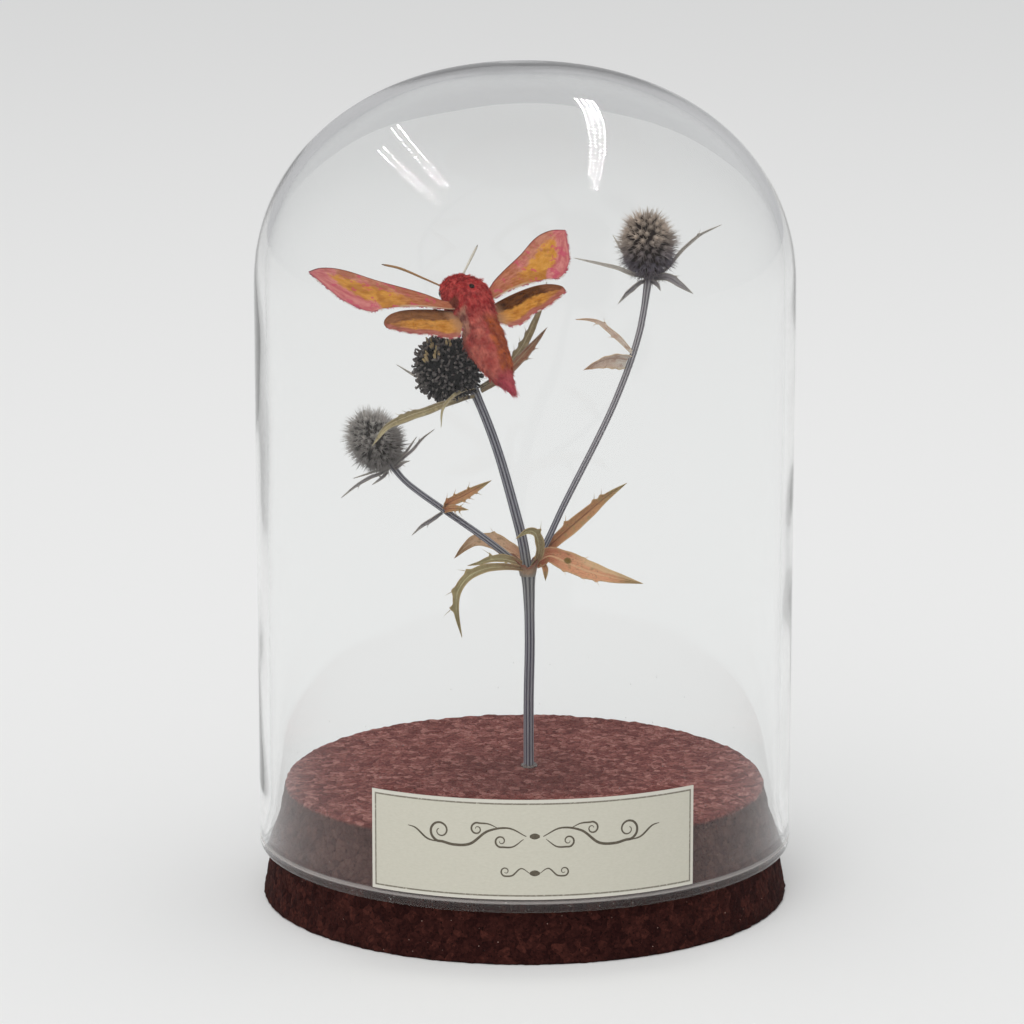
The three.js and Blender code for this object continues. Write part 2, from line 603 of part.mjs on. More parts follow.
function mothBody(grow) {
  const rings = bodySections.map(([along, height, halfWidth]) => {
    const ring = [];
    for (let side = 0; side < bodySides; side++) {
      const angle = (side / bodySides) * Math.PI * 2;
      const radius = halfWidth + grow;
      ring.push(new THREE.Vector3(Math.cos(angle) * radius, along, height + Math.sin(angle) * radius));
    }
    return ring;
  });
  const nose = new THREE.Vector3(0, bodyNose[0] + grow, bodyNose[1]);
  const tail = new THREE.Vector3(0, bodyTail[0] - grow, bodyTail[1]);
  let body = solidOf(loft(rings, nose, tail));
  for (const side of [-1, 1]) {
    const ball = new THREE.IcosahedronGeometry(eye.radius + grow, 1);
    ball.translate(side * eye.place[0], eye.place[1], eye.place[2]);
    body = body.add(solidOf(ball));
  }
  return geometryOf(body);
}

function wingPlate({ outline, side, root, turn }, grow) {
  const points = wingOutlines[outline].map(([across, along]) => new THREE.Vector2(side * across, along));
  const shape = new THREE.Shape().moveTo(points[0].x, points[0].y);
  shape.splineThru(points.slice(1));
  const depth = wingThickness + 2 * grow;
  const plate = new THREE.ExtrudeGeometry(shape, { depth, bevelEnabled: false, curveSegments: 2 });
  plate.translate(0, 0, -depth / 2);
  const rotation = new THREE.Euler(...turn.map(radians), 'XYZ');
  return plate.applyMatrix4(new THREE.Matrix4().makeRotationFromEuler(rotation)).translate(...root);
}

function legRoute({ hip, knee, foot }) {
  const head = flowerHeads.middle_flower_head;
  const centre = mothGroup.worldToLocal(vector(head.centre));
  const reach = head.across + head.spine / 2;
  const footPlace = centre.clone().addScaledVector(vector(foot).normalize(), reach);
  const ankle = vector(knee).lerp(footPlace, 0.6);
  return [hip, knee, ankle.toArray(), footPlace.toArray()];
}

// ---------------------------------------------------------------- assembly

place('cork_base', meshOf(corkBase(), 0x7a3f36, 0.9), corkBase());

{
  const glass = meshOf(glassDome(), 0xe8eeee, 0.05);
  glass.material.transparent = true;
  glass.material.opacity = 0.3;
  place('glass_dome', glass, glassDome());
}

place('label_card', meshOf(labelCard(), 0xcfcab8, 0.8), labelCard());

{
  const blob = meshOf(glueBead(), 0xd9d6cc, 0.2);
  blob.position.set(mainStem.route[1][0], mainStem.route[1][1], cork.height + clearance);
  place('glue_bead', blob, glueBead());
}

place('main_stem', meshOf(mainStemShape(0), 0x6f7178, 0.7), mainStemShape(clearance));

for (const [name, { radii, route }] of Object.entries(branches)) {
  const shape = (grow) => taperedTube(route, radii, stemSteps, stemSides, grow);
  place(name, meshOf(shape(0), 0x6f7178, 0.7), shape(clearance));
}

place('moth_body', meshOf(mothBody(0), moth.colour, 0.95), mothBody(clearance), mothGroup);

for (const [name, spec] of Object.entries(flowerHeads)) {
  const head = meshOf(flowerHead(spec, 0), spec.colour, 0.9);
  head.position.copy(vector(spec.centre));
  head.quaternion.setFromUnitVectors(new THREE.Vector3(0, 0, 1), vector(spec.apex).normalize());
  place(name, head, flowerHead(spec, clearance));
}

for (const [name, spec] of Object.entries(wings)) {
  place(name, meshOf(wingPlate(spec, 0), 0xc98440, 0.8), wingPlate(spec, clearance), mothGroup);
}

for (const [name, route] of Object.entries(antennae)) {
  const shape = (grow) => taperedTube(route, antennaRadii, limbSteps, limbSides, grow);
  place(name, meshOf(shape(0), 0xb89a72, 0.8), shape(clearance), mothGroup);
}

for (const [name, spec] of Object.entries(legs)) {
  const route = legRoute(spec);
  const shape = (grow) => taperedTube(route, legRadii, limbSteps, limbSides, grow);
  place(name, meshOf(shape(0), 0xb86a62, 0.9), shape(clearance), mothGroup);
}

placeBlades(nodeLeaves);
placeBlades(branchLeaves);
placeBlades(bracts);

export default object;
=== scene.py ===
import math
import bpy
import numpy as np
from mathutils import Matrix, Vector


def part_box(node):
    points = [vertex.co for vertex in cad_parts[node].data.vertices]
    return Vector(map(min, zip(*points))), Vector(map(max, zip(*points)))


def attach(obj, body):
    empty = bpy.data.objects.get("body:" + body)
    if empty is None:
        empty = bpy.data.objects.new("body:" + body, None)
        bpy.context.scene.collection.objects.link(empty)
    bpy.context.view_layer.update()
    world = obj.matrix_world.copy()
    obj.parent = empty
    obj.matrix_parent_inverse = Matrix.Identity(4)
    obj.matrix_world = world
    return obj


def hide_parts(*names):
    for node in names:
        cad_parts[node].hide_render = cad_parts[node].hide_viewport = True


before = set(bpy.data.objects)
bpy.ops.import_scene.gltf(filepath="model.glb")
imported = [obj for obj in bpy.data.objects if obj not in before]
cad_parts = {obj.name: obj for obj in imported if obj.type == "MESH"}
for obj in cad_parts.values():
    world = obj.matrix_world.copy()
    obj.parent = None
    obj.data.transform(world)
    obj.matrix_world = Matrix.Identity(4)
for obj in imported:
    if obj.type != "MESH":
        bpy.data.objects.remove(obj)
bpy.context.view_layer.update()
bpy.ops.object.select_all(action="DESELECT")
mm = 0.001
chance = np.random.default_rng(41)

# camera and studio

cameraView = {"place": (-2.39, -804.63, 240.7), "lookDown": 11.8, "lens": 154.9}

bpy.ops.object.camera_add(
    location=Vector(cameraView["place"]) * mm,
    rotation=(math.radians(90 - cameraView["lookDown"]), 0, 0),
)
camera = bpy.context.active_object
camera.data.sensor_width = 36
camera.data.lens = cameraView["lens"]
camera.data.clip_start = 0.01
bpy.context.scene.camera = camera
bpy.context.scene.view_settings.view_transform = "Standard"

studio = {
    "floorSize": 14.0,
    "floorTone": (0.86, 0.86, 0.85, 1),
    "worldTone": (0.98, 0.985, 1.0, 1),
    "worldPower": 0.53,
    "sunTurn": (34, -20, 0),
    "sunPower": 0.95,
    "sunWidth": 50,
    "bulbSize": 0.013,
    "bulbStep": 0.06,
    "bulbPower": 170.0,
    "aim": (0, 0, 0.08),
}

softLights = [
    # name, place, size, watts
    ("topLight", (0.1, 0.1, 1.5), 1.0, 4.6),
    ("frontLight", (-0.2, -1.35, 0.75), 0.8, 2.1),
]

ceilingStrips = [
    # name, middle, turn in degrees, rows, gap between rows, bulbs in a row
    ("stripLeftNear", (-0.78, 0.38, 1.5), 4.5, 2, 0.062, 28),
    ("stripLeftFar", (-0.98, 0.1, 1.5), 5.5, 2, 0.068, 25),
    ("stripRight", (0.46, 0.4, 1.5), 8.5, 4, 0.034, 30),
]


def aimAt(thing, target):
    thing.rotation_euler = (Vector(target) - thing.location).to_track_quat("-Z", "Y").to_euler()


def buildStudio():
    bpy.ops.mesh.primitive_plane_add(size=studio["floorSize"])
    floor = bpy.context.active_object
    floor.name = "floor"
    paper = Finish("studioPaper", {
        "Base Color": studio["floorTone"], "Roughness": 0.9, "Specular IOR Level": 0.0,
    })
    floor.data.materials.append(paper.material)
    world = bpy.data.worlds.new("studioAir")
    world.use_nodes = True
    sky = world.node_tree.nodes["Background"]
    sky.inputs["Color"].default_value = studio["worldTone"]
    sky.inputs["Strength"].default_value = studio["worldPower"]
    bpy.context.scene.world = world
    bpy.ops.object.light_add(type="SUN", rotation=[math.radians(angle) for angle in studio["sunTurn"]])
    sun = bpy.context.active_object
    sun.name = "softSun"
    sun.data.energy = studio["sunPower"]
    sun.data.angle = math.radians(studio["sunWidth"])
    hideGlare(sun)
    for name, place, size, watts in softLights:
        bpy.ops.object.light_add(type="AREA", location=place)
        lamp = bpy.context.active_object
        lamp.name = name
        lamp.data.shape = "DISK"
        lamp.data.size = size
        lamp.data.energy = watts
        hideGlare(lamp)
        aimAt(lamp, studio["aim"])
    for strip in ceilingStrips:
        buildStrip(*strip)
    print("studio lit")


def hideGlare(lamp):  # lights the piece without a patch of its own in the glass
    lamp.visible_camera = False
    lamp.visible_glossy = False
    lamp.visible_transmission = False


def buildStrip(name, middle, turn, rows, gap, bulbs):  # small bulbs that only show as glints in the glass
    bpy.ops.mesh.primitive_plane_add(size=studio["bulbSize"])
    strip = bpy.context.active_object
    strip.name = name
    spacing = studio["bulbStep"]
    for count, step, axis in ((rows, gap, 0), (bulbs, spacing, 1)):
        offset = [0, 0, 0]
        offset[axis] = step
        modify(strip, "ARRAY", count=count, use_relative_offset=False, use_constant_offset=True,
               constant_offset_displace=offset)
    centred = Matrix.Translation((-(rows - 1) * gap / 2, -(bulbs - 1) * spacing / 2, 0))
    strip.data.transform(Matrix.Translation(middle) @ Matrix.Rotation(math.radians(turn), 4, "Z") @ centred)
    glow = Finish("stripGlow", {"Emission Color": (1, 1, 1, 1), "Emission Strength": studio["bulbPower"]})
    glow.material.cycles.emission_sampling = "NONE"
    strip.data.materials.append(glow.material)
    for ray in ("camera", "diffuse", "transmission", "shadow", "volume_scatter"):
        setattr(strip, "visible_" + ray, False)


# shader wiring


class Wire:  # a socket that adds, subtracts and multiplies as a number does
    def __init__(self, finish, socket):
        self.finish = finish
        self.socket = socket

    def __add__(self, other):
        return self.finish.maths("ADD", self, other)

    def __radd__(self, other):
        return self.finish.maths("ADD", other, self)

    def __sub__(self, other):
        return self.finish.maths("SUBTRACT", self, other)

    def __rsub__(self, other):
        return self.finish.maths("SUBTRACT", other, self)

    def __mul__(self, other):
        return self.finish.maths("MULTIPLY", self, other)

    def __rmul__(self, other):
        return self.finish.maths("MULTIPLY", other, self)


def linear(tone):  # the linear colour a shader takes, from display values of 0 to 255
    if isinstance(tone, Wire):
        return tone
    return (*(((v / 255 + 0.055) / 1.055) ** 2.4 if v > 10 else v / 3294.6 for v in tone), 1)


class Finish:  # one material, with short names for the nodes it is wired from
    def __init__(self, name, values):
        self.material = bpy.data.materials.new(name)
        self.material.use_nodes = True
        self.tree = self.material.node_tree
        self.shader = self.tree.nodes["Principled BSDF"]
        for socket, value in values.items():
            self.shader.inputs[socket].default_value = value
        metres = self.node("TexCoord", {}, {}, "Object")
        self.place = self.node("VectorMath", {"operation": "SCALE"}, {0: metres, "Scale": 1 / mm})  # mm

    def node(self, kind, settings, values, output=0):
        node = self.tree.nodes.new("ShaderNode" + kind)
        for key, value in settings.items():
            if key == "stops":
                self.setStops(node.color_ramp, value)
            else:
                setattr(node, key, value)
        for key, value in values.items():
            if isinstance(value, Wire):
                self.tree.links.new(value.socket, node.inputs[key])
            else:
                node.inputs[key].default_value = value
        return Wire(self, node.outputs[output])

    def setStops(self, ramp, stops):
        while len(ramp.elements) < len(stops):
            ramp.elements.new(0.5)
        for element, (place, tone) in zip(ramp.elements, stops):
            element.position = place
            element.color = linear(tone)

    def maths(self, operation, first, second=0.0):
        return self.node("Math", {"operation": operation}, {0: first, 1: second})

    def stretched(self, scale):
        return self.node("VectorMath", {"operation": "MULTIPLY"}, {0: self.place, 1: scale})

    def along(self, direction, origin=(0, 0, 0)):  # distance from origin along a direction
        fromOrigin = self.node("VectorMath", {"operation": "SUBTRACT"}, {0: self.place, 1: origin})
        return self.node("VectorMath", {"operation": "DOT_PRODUCT"}, {0: fromOrigin, 1: direction}, "Value")

    def noise(self, scale, detail=3.0, roughness=0.55, vector=None):
        values = {"Vector": vector or self.place, "Scale": scale, "Detail": detail, "Roughness": roughness}
        return self.node("TexNoise", {}, values)

    def cells(self, scale, feature="F1", output="Distance", vector=None):
        values = {"Vector": vector or self.place, "Scale": scale}
        return self.node("TexVoronoi", {"feature": feature}, values, output)

    def read(self, name):
        return self.node("Attribute", {"attribute_name": name}, {}, "Fac")

    def step(self, value, low, high):  # 0 below low, 1 above high, smooth between
        values = {"Value": value, "From Min": low, "From Max": high}
        return self.node("MapRange", {"interpolation_type": "SMOOTHSTEP"}, values)

    def band(self, value, *edges):  # rises between the first two edges and falls between the last two
        return self.step(value, *edges[:2]) * (1 - self.step(value, *edges[2:]))

    def patches(self, scale, detail, low, high):
        return self.step(self.noise(scale, detail), low, high)

    def mix(self, share, first, second):
        values = {0: share, 6: linear(first), 7: linear(second)}
        return self.node("Mix", {"data_type": "RGBA"}, values, 2)

    def ramp(self, value, stops):
        return self.node("ValToRGB", {"stops": stops}, {0: value})

    def plug(self, socket, wire):
        self.tree.links.new(wire.socket, self.shader.inputs[socket])

    def base(self, colour):
        self.colour = colour
        self.plug("Base Color", colour)

    def coat(self, share, tone):  # one more tone over the colour so far
        self.base(self.mix(share, self.colour, tone))

    def relief(self, height, depth, strength=1.0):  # depth in millimetres
        values = {"Height": height, "Distance": depth * mm, "Strength": strength}
        self.plug("Normal", self.node("Bump", {}, values))


# mesh tools


def pick(piece, kind, test):  # leaves the piece in edit mode with only these parts selected
    bpy.context.view_layer.objects.active = piece
    bpy.ops.object.mode_set(mode="EDIT")
    bpy.ops.mesh.select_mode(type={"vertices": "VERT", "edges": "EDGE", "polygons": "FACE"}[kind])
    bpy.ops.mesh.select_all(action="DESELECT")
    bpy.ops.object.mode_set(mode="OBJECT")
    for part in getattr(piece.data, kind):
        part.select = test(part)
    bpy.ops.object.mode_set(mode="EDIT")


def modify(piece, kind, **settings):
    modifier = piece.modifiers.new(kind.lower(), kind)
    for key, value in settings.items():
        setattr(modifier, key, value)
    bpy.context.view_layer.objects.active = piece
    bpy.ops.object.modifier_apply(modifier=modifier.name)


def vertexPlaces(piece):
    places = np.empty(len(piece.data.vertices) * 3)
    piece.data.vertices.foreach_get("co", places)
    return places.reshape(-1, 3)


def reshape(piece, place):  # place turns the coordinates it is given into millimetres
    x, y, z = vertexPlaces(piece).T
    piece.data.vertices.foreach_set("co", (place(x, y, z) * mm).ravel())
    piece.data.update()


def mark(piece, name, values):  # a number on each vertex, for the shader to read
    attribute = piece.data.attributes.new(name, "FLOAT", "POINT")
    values = np.broadcast_to(values, len(piece.data.vertices))
    attribute.data.foreach_set("value", values.astype(np.float32))


def unitGrid(name, across, along):  # x from -1 to 1, y from 0 to 1
    bpy.ops.mesh.primitive_grid_add(x_subdivisions=across, y_subdivisions=along, size=2)
    grid = bpy.context.active_object
    grid.name = name
    reshape(grid, lambda x, y, z: np.stack([x, (y + 1) / 2, z], 1) / mm)
    return grid


def unitTube(name, sides, rings):  # radius 1 about z, from 0 to 1
    bpy.ops.mesh.primitive_cylinder_add(vertices=sides, radius=1, depth=1, location=(0, 0, 0))
    tube = bpy.context.active_object
    tube.name = name
    pick(tube, "edges", lambda edge: climb(tube, edge) > 0.5)
    bpy.ops.mesh.subdivide(number_cuts=rings)
    bpy.ops.object.mode_set(mode="OBJECT")
    reshape(tube, lambda x, y, z: np.stack([x, y, z + 0.5], 1) / mm)
    return tube


def climb(piece, edge):  # how far an edge climbs
    low, high = (piece.data.vertices[v].co.z for v in edge.vertices)
    return abs(low - high)


def deselect():
    bpy.ops.object.select_all(action="DESELECT")


def joined(pieces, name):
    deselect()
    for piece in pieces:
        piece.select_set(True)
    bpy.context.view_layer.objects.active = pieces[0]
    if len(pieces) > 1:
        bpy.ops.object.join()
    pieces[0].name = name
    deselect()
    return pieces[0]


def copyOf(model, matrix, **marks):  # its own mesh, with its place in the mesh
    copy = model.copy()
    copy.data = model.data.copy()
    copy.data.transform(matrix)
    bpy.context.scene.collection.objects.link(copy)
    for name, value in marks.items():
        mark(copy, name, value)
    return copy


def discard(piece):
    bpy.data.objects.remove(piece)


sharpEdge = 50  # degrees between faces, past which an edge stays sharp


def dress(piece, finish, slot, *nodes):  # def dress(piece, finish, slot, *nodes): # gives a piece its finish and body, and the nodes it replaces; the slot is not used
    piece.data.materials.clear()
    piece.data.materials.append(finish.material)
    deselect()
    piece.select_set(True)
    bpy.context.view_layer.objects.active = piece
    bpy.ops.object.shade_smooth_by_angle(angle=math.radians(sharpEdge))
    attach(piece, "root")
    if nodes:
        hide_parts(*nodes)
    deselect()
    return piece


def unit(vectors):
    return vectors / np.maximum(np.linalg.norm(vectors, axis=-1, keepdims=True), 1e-9)


curveSteps = 24  # steps of a route from one of its points to the next


class Route:  # a smooth line through points, read by its share of the length
    def __init__(self, points):
        points = np.array(points, float)
        ends = [2 * points[0] - points[1], *points, 2 * points[-1] - points[-2]]
        line = []
        for before, start, end, after in zip(ends, ends[1:], ends[2:], ends[3:]):
            spans = ((before, start), (start, end), (end, after))
            a, b, c = (np.linalg.norm(q - p) ** 0.5 for p, q in spans)
            leave = ((start - before) / a - (end - before) / (a + b) + (end - start) / b) * b
            arrive = ((end - start) / b - (after - start) / (b + c) + (after - end) / c) * b
            for t in np.linspace(0, 1, curveSteps, endpoint=False):
                line.append(
                    (2 * t**3 - 3 * t**2 + 1) * start + (t**3 - 2 * t**2 + t) * leave
                    + (3 * t**2 - 2 * t**3) * end + (t**3 - t**2) * arrive
                )
        line.append(points[-1])
        self.line = np.array(line)
        lengths = np.linalg.norm(np.diff(self.line, axis=0), axis=1)
        self.length = lengths.sum()
        self.shares = np.concatenate([[0], np.cumsum(lengths)]) / self.length
        self.tangents = unit(np.gradient(self.line, axis=0))
        side = np.cross(self.tangents[0], [0.3, 0.5, 0.81] if abs(self.tangents[0][1]) > 0.7 else [0, 1, 0])
        self.sides = []
        for tangent in self.tangents:  # carried along without twist
            side = unit(side - tangent * (side @ tangent))
            self.sides.append(side)
        self.sides = np.array(self.sides)

    def read(self, rows, share):
        return np.stack([np.interp(share, self.shares, rows[:, axis]) for axis in range(3)], -1)

    def at(self, share):
        share = np.asarray(share, float)
        beyond = (share - np.clip(share, 0, 1)) * self.length
        return self.read(self.line, share) + self.tangent(share) * beyond[..., None]

    def tangent(self, share):
        return unit(self.read(self.tangents, share))

    def frame(self, share, facing=None):
        tangent = self.tangent(share)
        if facing is None:
            side = unit(self.read(self.sides, share))
        else:
            side = unit(np.cross(np.array(facing, float), tangent))
        return self.at(share), side, np.cross(tangent, side)


def smooth(value, low, high):
    t = np.clip((value - low) / (high - low), 0, 1)
    return t * t * (3 - 2 * t)


def tubeAlong(name, route, radius, sides, rings, ribs=0, ribDepth=0.0):
    path = Route(route)
    tube = unitTube(name, sides, rings)
    x, y, z = vertexPlaces(tube).T
    mark(tube, "along", z)

    def place(x, y, z):
        angle = np.arctan2(y, x)
        centre, side, face = path.frame(z)
        reach = radius(z) * np.hypot(x, y) * (1 - ribDepth * (0.5 - 0.5 * np.cos(ribs * angle)) ** 1.5)
        return centre + (np.cos(angle) * reach)[:, None] * side + (np.sin(angle) * reach)[:, None] * face

    if ribs:
        mark(tube, "groove", 0.5 - 0.5 * np.cos(ribs * np.arctan2(y, x)))
    reshape(tube, place)
    return tube


def turnTo(direction, roll=0.0):  # turns +Z to a direction, after a roll about it
    return Vector(direction).to_track_quat("Z", "Y").to_matrix().to_4x4() @ Matrix.Rotation(roll, 4, "Z")


def needleModel():
    bpy.ops.mesh.primitive_cone_add(vertices=4, radius1=1, radius2=0, depth=1, location=(0, 0, 0.5))
    bpy.ops.object.transform_apply()
    return bpy.context.active_object


def needleAt(model, base, direction, length, radius, **marks):
    size = Matrix.Diagonal((radius * mm, radius * mm, length * mm, 1))
    matrix = Matrix.Translation(Vector(base) * mm) @ turnTo(direction) @ size
    return copyOf(model, matrix, **marks)


# cork foot

corkLow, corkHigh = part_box("cork_base")
cork = {
    "bottomRadius": corkHigh.x / mm,
    "topRadius": 44.95,
    "height": corkHigh.z / mm,
    "edge": 0.6,
    "roundSteps": 420,
    "topRings": 84,
    "footRings": 6,
    "sideRings": 34,
    "hole": (0.8, 5.2, 1.25, 8.0),  # x, y, radius, depth
    "skin": [
        # name, kind of texture, size, depth, level
        ("grains", "CLOUDS", 0.7, 0.42, 0.55),
        ("crumbs", "VORONOI", 1.5, 0.3, 0.55),
        ("lumps", "CLOUDS", 4.0, 0.25, 0.5),
    ],
}


def corkFinish():
    finish = Finish("stainedCork", {"Roughness": 0.85, "Specular IOR Level": 0.08})
    wobble = finish.node("TexNoise", {}, {"Vector": finish.place, "Scale": 0.6, "Detail": 2.0}, "Color")
    bend = {0: wobble, 1: (0.8, 0.8, 0.8), 2: finish.place}
    bent = finish.node("VectorMath", {"operation": "MULTIPLY_ADD"}, bend)
    granule = finish.node("SeparateColor", {}, {0: finish.cells(0.62, output="Color", vector=bent)})
    seam = finish.cells(0.62, "DISTANCE_TO_EDGE", vector=bent)
    crumb = finish.node("SeparateColor", {}, {0: finish.cells(1.9, output="Color", vector=bent)})
    tone = granule * 0.42 + crumb * 0.3 + finish.noise(1.6, 5.0) * 0.35
    tops = finish.ramp(tone, [
        (0.3, (116, 62, 58)), (0.5, (142, 82, 76)), (0.64, (160, 98, 91)), (0.8, (190, 132, 123)),
    ])
    # painted shade: the side is painted far darker than the top, which takes the light from above
    sides = finish.ramp(tone, [
        (0.3, (38, 16, 15)), (0.52, (52, 25, 22)), (0.68, (60, 30, 26)), (0.84, (76, 40, 34)),
    ])
    height = finish.along((0, 0, 1))
    # painted haze: where the glass covers the side, it is lightened to a grey-pink, standing in for the pale
    # haze seen through the glass
    paintedHazeUnderGlass = finish.step(height, dome["rim"] + 1.0, dome["rim"] + 2.4)
    sides = finish.mix(paintedHazeUnderGlass * 0.5, sides, finish.mix(tone, (104, 78, 76), (152, 120, 112)))
    top = finish.step(height, cork["height"] - 1.1, cork["height"] - 0.3)
    finish.base(finish.mix(top, sides, tops))
    finish.coat((1 - finish.step(seam, 0.0, 0.06)) * 0.35, (50, 24, 21))
    pits = finish.step(finish.noise(2.3, 2.0, 0.5, bent), 0.63, 0.7)
    finish.coat(pits * 0.85, (24, 11, 10))
    # painted glints: small pale spots, in patches, over the cork
    paintedGlint = 1 - finish.step(finish.cells(0.8), 0.05, 0.09)
    paintedGlintOn = finish.patches(0.4, 0.0, 0.6, 0.66)
    finish.coat(paintedGlint * paintedGlintOn * 0.6, (222, 190, 176))
    # painted shadow: the cork darkens towards the middle, under the plant
    flat = finish.stretched((1, 1, 0))
    middle = finish.node("VectorMath", {"operation": "LENGTH"}, {0: flat}, "Value")
    paintedShadowMiddle = 1 - finish.step(middle + finish.noise(0.07, 2.0) * 14, 14, 34)
    finish.coat(paintedShadowMiddle * 0.3, (52, 26, 24))
    bumps = finish.noise(3.2, 4.0) * 0.5 + finish.step(seam, 0.0, 0.14) * 0.4 - pits * 0.9
    finish.relief(bumps, 0.35, 0.75)
    return finish


def buildCork():
    height = cork["height"]
    bpy.ops.mesh.primitive_cone_add(
        vertices=cork["roundSteps"], radius1=cork["bottomRadius"] * mm, radius2=cork["topRadius"] * mm,
        depth=height * mm, location=(0, 0, height / 2 * mm),
    )
    block = bpy.context.active_object
    bpy.ops.object.transform_apply()
    pick(block, "edges", lambda edge: climb(block, edge) < 1e-6)
    bpy.ops.mesh.bevel(offset=cork["edge"] * mm, segments=3)
    for top in (True, False):
        pick(block, "polygons", lambda face: len(face.vertices) > 8 and (face.normal.z > 0) == top)
        rings = cork["topRings"] if top else cork["footRings"]
        for ring in range(rings - 1):
            bpy.ops.mesh.inset(thickness=(cork["topRadius"] - cork["edge"]) * mm / rings)
        bpy.ops.mesh.poke()
    pick(block, "edges", lambda edge: climb(block, edge) > height * 0.6 * mm)
    bpy.ops.mesh.subdivide(number_cuts=cork["sideRings"])
    bpy.ops.object.mode_set(mode="OBJECT")
    roughenCork(block)
    print("cork roughened")
    x, y, radius, depth = cork["hole"]
    bpy.ops.mesh.primitive_cylinder_add(
        vertices=24, radius=radius * mm, depth=2 * depth * mm, location=(x * mm, y * mm, height * mm)
    )
    drill = bpy.context.active_object
    modify(block, "BOOLEAN", operation="DIFFERENCE", object=drill, solver="EXACT")
    discard(drill)
    block.name = "corkFoot"
    dress(block, corkFinish(), "cork", "cork_base")


def grain(name, kind, scale):
    texture = bpy.data.textures.new(name, kind)
    texture.noise_scale = scale * mm
    return texture


def roughenCork(block):
    skin = block.vertex_groups.new(name="skin")  # the underside stays flat
    for vertex in block.data.vertices:
        if vertex.co.z > 0.05 * mm:
            skin.add([vertex.index], 1, "REPLACE")
    for name, kind, scale, depth, level in cork["skin"]:
        modify(block, "DISPLACE", texture=grain(name, kind, scale), strength=depth * mm, mid_level=level,
               texture_coords="LOCAL", vertex_group="skin")
    # nothing under the table top
    reshape(block, lambda x, y, z: np.stack([x, y, np.maximum(z, 0)], 1) / mm)


# glass dome

domeLow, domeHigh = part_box("glass_dome")
dome = {
    "radius": domeHigh.x / mm,
    "wall": 2.1,
    "rim": domeLow.z / mm,
    "shoulder": 115.7,
    "top": domeHigh.z / mm,
    "sideFullness": 2.14,  # 2 is a plain ellipse, and more is squarer
    "crownFullness": 2.1,
    "crownSteps": 40,
    "sideSteps": 10,
    "lipSteps": 8,
    "roundSteps": 160,
}


def crown(radius, height, share):
    angle = share * math.pi / 2
    return (
        radius * math.cos(angle) ** (2 / dome["sideFullness"]),
        dome["shoulder"] + height * math.sin(angle) ** (2 / dome["crownFullness"]),
    )


def domeProfile():  # radius and height, from the top down the outside and back up the inside
    outer, wall, rim = dome["radius"], dome["wall"], dome["rim"]
    height = dome["top"] - dome["shoulder"]
    rise = dome["shoulder"] - rim - wall / 2
    crownSteps, sideSteps, lipSteps = dome["crownSteps"], dome["sideSteps"], dome["lipSteps"]
    profile = [(0, dome["top"])]
    profile += [crown(outer, height, step / crownSteps) for step in reversed(range(crownSteps))]
    profile += [(outer, dome["shoulder"] - rise * step / sideSteps) for step in range(1, sideSteps + 1)]
    for step in range(1, lipSteps):
        across, down = math.cos(math.pi * step / lipSteps), math.sin(math.pi * step / lipSteps)
        profile.append((outer - wall / 2 + wall / 2 * across, rim + wall / 2 * (1 - down)))
    profile += [(outer - wall, rim + wall / 2 + rise * step / sideSteps) for step in range(sideSteps)]
    profile += [crown(outer - wall, height - wall, step / crownSteps) for step in range(crownSteps)]
    profile.append((0, dome["top"] - wall))
    return profile


def spun(name, profile, steps):  # a profile of radius and height, drawn by extruding and spun about z
    bpy.ops.mesh.primitive_plane_add(size=1 * mm)
    piece = bpy.context.active_object
    piece.name = name
    bpy.ops.object.mode_set(mode="EDIT")
    bpy.ops.mesh.select_mode(type="VERT")
    bpy.ops.mesh.select_all(action="SELECT")
    bpy.ops.mesh.merge(type="CENTER")
    here = (0.0, 0.0)
    for index, (radius, height) in enumerate(profile):
        move = ((radius - here[0]) * mm, 0, (height - here[1]) * mm)
        if index == 0:
            bpy.ops.transform.translate(value=move)
        else:
            bpy.ops.mesh.extrude_region_move(TRANSFORM_OT_translate={"value": move})
        here = (radius, height)
    bpy.ops.mesh.select_all(action="SELECT")
    bpy.ops.mesh.spin(steps=steps, angle=2 * math.pi, center=(0, 0, 0), axis=(0, 0, 1))
    bpy.ops.mesh.select_all(action="SELECT")
    bpy.ops.mesh.remove_doubles(threshold=0.002 * mm)
    bpy.ops.mesh.normals_make_consistent(inside=False)
    bpy.ops.object.mode_set(mode="OBJECT")
    return piece


